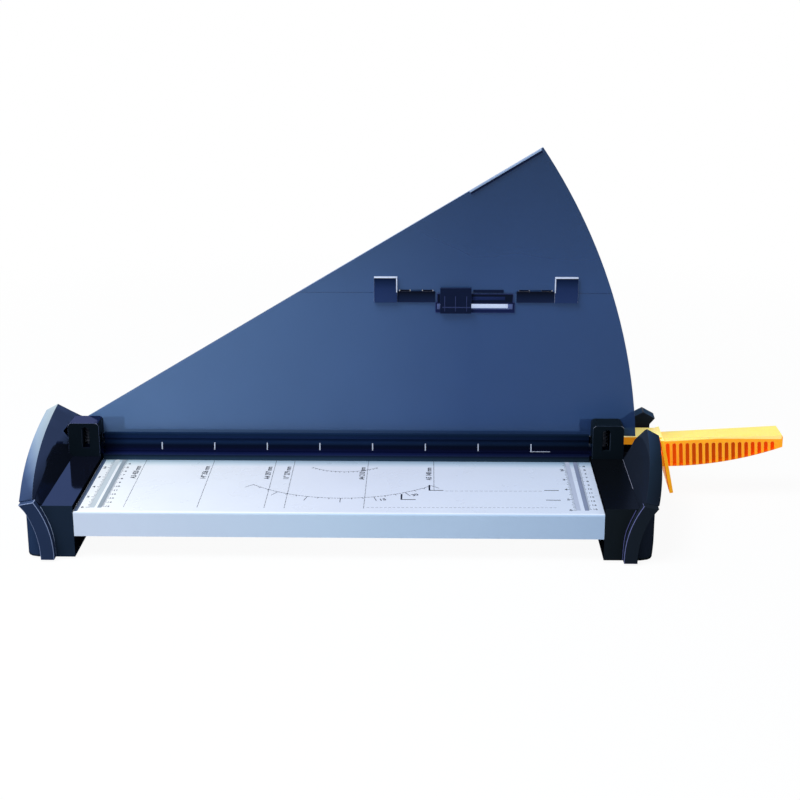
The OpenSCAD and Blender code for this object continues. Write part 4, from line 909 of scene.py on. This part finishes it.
def metal_looks():
    finish("zinc_steel", (0.52, 0.54, 0.56), 0.35, metallic=1.0, patch=60.0, wear=0.3)
    finish("blackened_steel", (0.11, 0.12, 0.15), 0.4, metallic=0.2, vary=0.2, patch=60.0, specular=0.2)
    finish("screw_steel", (0.30, 0.31, 0.33), 0.35, metallic=1.0, vary=0.15, patch=120.0, wear=0.4)
    finish("blade_steel", (0.62, 0.64, 0.66), 0.22, metallic=1.0, vary=0.06, patch=40.0, grain=300.0,
           bump=0.12, stretch=(1.0, 1.0, 30.0))
    finish("arm_steel", (0.018, 0.020, 0.026), 0.4, vary=0.15, patch=35.0, bump=0.1, specular=0.2)
    finish("arm_edge", (0.10, 0.11, 0.12), 0.4, metallic=0.5, vary=0.2, bump=0.1)
    finish("arm_side_steel", srgb(16, 14, 26), 0.5, vary=0.1, bump=0.06, specular=0.05)
    finish("bush_brass", (0.68, 0.48, 0.20), 0.3, metallic=1.0, patch=90.0, wear=0.3)


def block_looks():
    finish("block_plastic", WHITE, 0.5, vary=0.1, bump=0.16, grain=2200.0, specular=0.0,
           grades=across((33, 46, 64), (26, 32, 36)))
    finish("block_shaded_plastic", srgb(9, 11, 15), 0.6, vary=0.1, bump=0.16, grain=2200.0, specular=0.0)
    polished("block_top_plastic", srgb(14, 17, 28), (0.23, 0.37, 0.93), 0.03, 0.17, 0.07)
    # The right block's top: a shaded copy, darker and with a weaker mirror
    polished("block_top_dark", srgb(11, 14, 18), (0.35, 0.5, 1.0), 0.01, 0.025, 0.22)
    # Rounded edges painted lighter than their faces: painted highlights
    finish("block_edge", WHITE, 0.4, vary=0.15, bump=0.05, specular=0.0,
           grades=across((46, 60, 88), (22, 28, 36)))
    finish("fin_plastic", WHITE, 0.35, vary=0.08, bump=0.04, grain=1800.0, specular=0.0,
           grades=across((43, 57, 86), (32, 39, 48)))
    finish("fin_edge", WHITE, 0.3, vary=0.15, bump=0.04, specular=0.1,
           grades=across((150, 166, 204), (112, 116, 168)))
    # Beads on the front, painted pale as highlights
    finish("front_bead_highlight", WHITE, 0.3, vary=0.15, bump=0.04, specular=0.1,
           grades=across((150, 166, 196), (84, 86, 140)))


def shell_looks():
    finish("shell_plastic", WHITE, 0.35, vary=0.08, bump=0.05, grain=1800.0, specular=0.0,
           grades=across((45, 64, 97), (33, 40, 53)))
    # The left shell's inner wall: its mirror is dimmed towards the foot, a painted shade in its reflection
    polished("shell_wall_plastic", srgb(16, 20, 30), (0.22, 0.36, 0.85), 0.02, 0.14, 0.1,
             ((TALL, ((49.0, (0.25,) * 3), (57.0, (0.35,) * 3), (64.0, WHITE))),))
    # The right shell's inner wall: a shaded copy, darker and with a weaker mirror
    polished("shell_wall_dark", srgb(29, 35, 47), (0.3, 0.5, 0.9), 0.01, 0.03, 0.1)
    # Rounded edges of the shells, painted lighter: painted highlights
    finish("shell_edge", WHITE, 0.35, vary=0.15, bump=0.05, specular=0.1,
           grades=across((140, 156, 196), (34, 42, 60)))
    # The left shell's outer band: its mirror runs from dark at the foot to pale at the top, a painted sheen
    polished("shell_band", srgb(24, 34, 54), WHITE, 0.08, 0.8, 0.12,
             ((TALL, ((50.0, (0.05, 0.09, 0.22)), (56.5, (0.09, 0.15, 0.33)),
                      (59.0, (0.16, 0.26, 0.50)), (62.5, (0.33, 0.47, 0.73)),
                      (66.0, (0.50, 0.67, 0.90)), (76.0, (0.72, 0.88, 0.98)))),), vary=0.05)
    # The right shell's band, a shaded copy, painted lighter towards its top as a painted sheen
    finish("shell_band_shaded", WHITE, 0.3, vary=0.08, bump=0.02, grain=1800.0, specular=0.0,
           grades=((TALL, shades((52, (27, 34, 46)), (62, (34, 48, 64)), (76, (54, 76, 108)))),))
    # Rising faces of the rear shell, painted lighter: painted light on its top
    finish("rear_shell_top", srgb(66, 90, 118), 0.3, vary=0.08, bump=0.02, specular=0.0)
    # A thin seam painted pale: a painted highlight
    finish("wall_seam_highlight", srgb(176, 178, 200), 0.3, vary=0.1, bump=0.03)


# Slant of the clamp bar's front, along which its bands of colour change: partly the plastic's own tone,
# partly painted highlight and shade of its profile
CLAMP_SLANT = (0.0, 0.3, 0.954)


def clamp_looks():
    finish("post_plastic", srgb(16, 24, 31), 0.35, bump=0.06, grain=1800.0, specular=0.01)
    # The slots' walls, painted lighter than the post: painted light in their shade
    finish("post_slot_plastic", srgb(66, 78, 96), 0.4, vary=0.1, bump=0.03, specular=0.0)
    polished("post_top_plastic", srgb(16, 20, 34), (0.28, 0.36, 0.90), 0.03, 0.18, 0.12,
             vary=0.1, bump=0.02)
    # Glints painted on the posts' upper corners
    finish("post_corner", srgb(206, 208, 224), 0.3, vary=0.1, bump=0.03)
    # Rounded edges of the posts, painted lighter: painted highlights
    finish("post_edge", WHITE, 0.3, vary=0.15, bump=0.05, specular=0.1,
           grades=across((96, 108, 150), (52, 64, 84)))
    finish("clamp_smoke", WHITE, 0.3, vary=0.22, patch=26.0, bump=0.02, specular=0.01,
           stretch=(0.12, 1.0, 1.0), grades=(
               (CLAMP_SLANT, shades((80.5, (76, 106, 134)), (82.5, (52, 74, 98)), (84.4, (42, 62, 82)),
                                    (86.6, (22, 36, 56)), (87.6, (32, 43, 80)), (88.6, (21, 31, 74)),
                                    (91.7, (15, 22, 60)), (94.4, (11, 18, 42)), (96.6, (9, 19, 42)),
                                    (97.9, (20, 36, 64)), (100.0, (24, 44, 80)), (104.0, (20, 37, 73)),
                                    (107.0, (18, 37, 64)), (109.0, (28, 48, 82)))),
               # Both ends of the bar painted darker: painted shade beside the posts
               (ACROSS, ((-232, (0.45,) * 3), (-222, (0.5,) * 3), (-207, WHITE), (20, WHITE),
                         (232, (0.62, 0.58, 0.50))))))


def guard_looks():
    # The guard's painted light and shade: lighter at its lower left, deeper blue towards the right and the
    # top
    smoked("guard_smoke", srgb(112, 143, 184), srgb(56, 84, 134), 0.42, (0.30, 0.44, 0.66),
           0.36, 0.16, 0.16)
    # Slim sides of the guard's panels, painted lighter: painted highlights
    finish("guard_edge", srgb(112, 138, 186), 0.3, vary=0.08, bump=0.02, specular=0.2)
    # The guard grip's top, painted pale: a painted highlight
    finish("guard_grip_rim", srgb(150, 172, 206), 0.3, vary=0.08, bump=0.02, specular=0.2)
    finish("leaf_plastic", WHITE, 0.3, bump=0.06, grain=1800.0, specular=0.02,
           grades=((TALL, shades((194.7, (28, 39, 70)), (200, (20, 31, 56)), (205, (10, 15, 28)))),))
    # The clips' fronts are painted darker towards the top: painted shade under their rims
    finish("clip_plastic", WHITE, 0.3, bump=0.06, grain=1800.0, specular=0.02,
           grades=((TALL, shades((194.7, (42, 60, 104)), (208, (36, 53, 94)), (214, (24, 40, 74)),
                                 (218, (12, 24, 50)))),))
    # Rims of the clips painted pale: painted highlights
    finish("clip_polished_rim", srgb(222, 230, 250), 0.2, vary=0.04, bump=0.02)


def latch_looks():
    finish("latch_plastic", srgb(19, 28, 54), 0.3, bump=0.06, grain=1800.0, specular=0.02)
    finish("latch_frame_plastic", WHITE, 0.3, bump=0.05, grain=1800.0, specular=0.02,
           grades=((TALL, shades((186, (27, 37, 78)), (194, (24, 33, 68)), (195.5, (17, 25, 46)),
                                 (203, (16, 24, 42)))),))
    # Rounded edges of the latch, painted lighter: painted highlights
    finish("latch_frame_edge", srgb(60, 66, 128), 0.3, bump=0.03, specular=0.05)
    finish("latch_edge", srgb(40, 54, 100), 0.3, bump=0.04, specular=0.1)
    finish("latch_rib", srgb(50, 60, 100), 0.3, bump=0.04, specular=0.05)
    finish("latch_strip", srgb(30, 42, 82), 0.3, vary=0.1, bump=0.02, specular=0.02)
    finish("latch_stop", srgb(84, 98, 146), 0.3, vary=0.1, bump=0.02, specular=0.1)
    # The window's film, with a painted glow that lifts it in its recess's shade
    film = finish("window_film", srgb(222, 234, 255), 0.4, vary=0.03, bump=0.02, specular=0.1)
    glow_through(film, (0.65, 0.75, 1.00), 0.66, 0.0)


def handle_looks():
    # The handle's yellow, with a painted glow
    lucent("handle_yellow", WHITE, (1.0, 0.34, 0.01), 0.42, specular=0.08, grades=(
        (ACROSS, shades((262, (255, 182, 50)), (330, (255, 176, 46)), (415, (255, 172, 44)))),))
    # The finger guard's front: a lit copy of the yellow with a stronger painted glow
    lucent("finger_guard_yellow", srgb(255, 200, 54), (1.0, 0.38, 0.01), 0.52, specular=0.0)
    # The block's top beside the guard: a lit copy, painted pale yellow with a painted glow
    lucent("handle_block_top", srgb(255, 236, 140), (1.0, 0.74, 0.22), 0.42)
    # Top faces and rounded edges of the grip: a lit copy, painted lemon yellow
    lucent("handle_top_yellow", srgb(255, 230, 112), (1.0, 0.66, 0.10), 0.24, vary=0.03)
    # The grip's pockets: a shaded copy, painted deep orange and darker in the middle
    lucent("handle_pocket_orange", WHITE, (1.0, 0.16, 0.0), 0.22, 0.4, specular=0.1, vary=0.12,
           patch=40.0, grades=(
               (ACROSS, shades((306, (246, 108, 10)), (320, (232, 98, 8)), (334, (204, 80, 6)),
                               (374, (204, 78, 6)), (386, (236, 72, 8)), (404, (244, 88, 12)))),))
    lucent("handle_shade_orange", srgb(206, 52, 8), (1.0, 0.07, 0.0), 0.24, 0.4, specular=0.0, vary=0.06)


# Tests of a face's place in the drawing and of its normal, with the places they use: the inner side
# of the end blocks, the guard's upper rim and right end, the handle's block and the posts' slots
INNER_X, FLAP_TOP_Z, GUARD_END_X, HANDLE_BLOCK_X = 235.0, 215.0, 200.0, 300.0
SLOT_X0, SLOT_X1, SLOT_TALL = 238.0, 251.0, 35.5
SLOT_WALLS_X, SLOT_WALLS_HALF = 244.5, 5.0


def everywhere(place, normal):
    return True


def upward(place, normal):
    return normal.z > 0.7


def rising(place, normal):
    return normal.z > 0.3


def frontward(place, normal):
    return normal.y < -0.7


def outward(place, normal):
    return normal.x if place.x > 0 else -normal.x


def outer_side(place, normal):
    return outward(place, normal) > 0.2


def outer_slope(place, normal):
    return outer_side(place, normal) and rising(place, normal)


def inner_wall(place, normal):
    return outward(place, normal) < -0.3


def under_bed(place, normal):
    return abs(place.x) < INNER_X and abs(normal.x) > 0.7


def slim_side(place, normal):
    return abs(normal.y) < 0.5 and normal.z > -0.5


def upper_rim(place, normal):
    return slim_side(place, normal) and place.z > FLAP_TOP_Z


def right_rim(place, normal):
    return normal.x > 0.5 and place.x > GUARD_END_X


def fin_rim(place, normal):
    return normal.x > 0.05 or (normal.z > 0.25 and normal.x > -0.15)


def in_slot(place, normal):
    return SLOT_X0 < abs(place.x) < SLOT_X1 and place.z < BED_TOP + SLOT_TALL


def slot_wall(place, normal):
    return (in_slot(place, normal) and abs(normal.x) > 0.7
            and abs(abs(place.x) - SLOT_WALLS_X) < SLOT_WALLS_HALF)


def post_corner(place, normal):
    return abs(normal.x) > 0.3 and normal.z > 0.3 and normal.y < -0.2 and not in_slot(place, normal)


def in_pocket(place, normal):
    return HANDLE_FRONT_Y + 0.2 < place.y < HANDLE_FRONT_Y + POCKET_D + 0.2 and place.x > GRIP_X


# Other looks than the slot's: of a node's rounded edges, by slot or node, mostly painted lighter as
# highlights, and of picked faces, many of them painted light or shade
FACES, EDGES, BOTH = (0,), (1,), (0, 1)
EDGES_OF = {"block_plastic": "block_edge", "shell_plastic": "shell_edge", "post_plastic": "post_edge",
            "latch_plastic": "latch_edge", "arm_steel": "arm_edge", "handle_yellow": "handle_top_yellow",
            "left_front_fin": "fin_edge", "right_front_fin": "fin_edge"}
POST_SIDES = (("post_plastic", in_slot, EDGES), ("post_slot_plastic", slot_wall, FACES),
              ("post_corner", post_corner, EDGES))
PICKS = {
    "bed_plate": (("bed_front_enamel", frontward, BOTH),),
    "left_end_block": (("block_top_plastic", upward, FACES), ("block_shaded_plastic", under_bed, BOTH)),
    "right_end_block": (("block_top_dark", upward, FACES), ("block_shaded_plastic", under_bed, BOTH)),
    "left_end_shell": (("shell_band", outer_slope, FACES), ("shell_wall_plastic", inner_wall, BOTH)),
    "right_end_shell": (("shell_band_shaded", outer_slope, FACES), ("shell_wall_dark", inner_wall, BOTH)),
    "right_rear_shell": (("rear_shell_top", rising, FACES),),
    "left_front_fin": (("fin_plastic", everywhere, FACES), ("shell_edge", outer_side, EDGES),
                       ("shell_band", upward, FACES)),
    "right_front_fin": (("fin_plastic", everywhere, FACES), ("fin_plastic", fin_rim, EDGES)),
    "left_post": (("post_top_plastic", upward, FACES),) + POST_SIDES,
    "right_post": POST_SIDES,
    "guard_hinge_clips": (("clip_polished_rim", slim_side, BOTH), ("clip_plastic", frontward, BOTH)),
    "guard_hinge_leaves": (("leaf_plastic", lambda place, normal: normal.y < -0.5, BOTH),),
    "latch_frame": (("latch_frame_plastic", everywhere, FACES), ("latch_frame_edge", everywhere, EDGES)),
    "guard_edge_grip": (("guard_grip_rim", slim_side, BOTH),),
    "guard_upper_panel": (("guard_edge", upper_rim, BOTH),
                          ("latch_plastic", lambda place, normal: place.y < GUARD_Y - 0.2, BOTH)),
    "guard_lower_panel": (("guard_edge", right_rim, BOTH),),
    "handle_grip": (("handle_pocket_orange", in_pocket, BOTH), ("handle_top_yellow", upward, FACES),
                    ("handle_block_top", lambda place, normal: upward(place, normal)
                     and place.x < HANDLE_BLOCK_X, FACES),
                    ("finger_guard_yellow", lambda place, normal: frontward(place, normal)
                     and place.y < HANDLE_FRONT_Y - 5.0, BOTH))}
# Radius of the rounded edges, for each node that gets them
ROUNDED = {
    "bed_plate": 0.6, "left_end_block": 0.5, "right_end_block": 0.5,
    "left_end_shell": 0.6, "right_end_shell": 0.6, "right_rear_shell": 0.6,
    "left_front_fin": 0.45, "right_front_fin": 0.45,
    "left_base_cover": 0.5, "right_base_cover": 0.5, "rubber_feet": 0.4,
    "left_post": 0.5, "right_post": 0.5, "clamp_bar": 0.35, "clamp_pad": 0.2,
    "guard_lower_panel": 0.3, "guard_upper_panel": 0.3, "guard_edge_grip": 0.3,
    "guard_hinge_clips": 0.3, "guard_hinge_leaves": 0.2,
    "latch_frame": 0.2, "latch_slider": 0.25, "rear_tie_bar": 0.5,
    "arm_rest_pad": 0.4, "blade_arm": 0.5, "moving_blade": 0.12, "ledger_blade": 0.15,
    "handle_grip": 0.7}
PAINTED = {"clamp_guide_rods": "blackened_steel", "guard_hinge_pins": "latch_plastic"}


def dress_machine():
    for make_looks in (bed_looks, metal_looks, block_looks, shell_looks, clamp_looks, guard_looks,
                       latch_looks, handle_looks):
        make_looks()
    add_springs()
    for node, slot in SLOT_OF.items():
        if node in ROUNDED:
            dress(node, ROUNDED[node])
        elif node != "clamp_springs":
            paint(node, PAINTED.get(node, slot))
    add_lip()
    add_block_trim()
    add_handle_trim()
    add_latch_trim()
    add_guard_trim()


# Lamps, which all point at one place: name, place, size and power
LAMPS = (("key", (-0.75, -0.75, 1.75), (1.1, 1.1), 38.0), ("fill", (1.8, -1.2, 1.2), (1.0, 1.0), 1.0))
LIT_PLACE, LAMP_COLOR = (-0.04, 0.0, 0.1), (0.90, 0.95, 1.0)


def set_look():
    bpy.context.scene.view_settings.view_transform = "Standard"
    set_world()
    for name, place, size, power in LAMPS:
        add_lamp(name, place, LIT_PLACE, size, power, LAMP_COLOR)


add_camera()
set_look()
add_floor()
dress_machine()
print_bed()
mark_clamp()
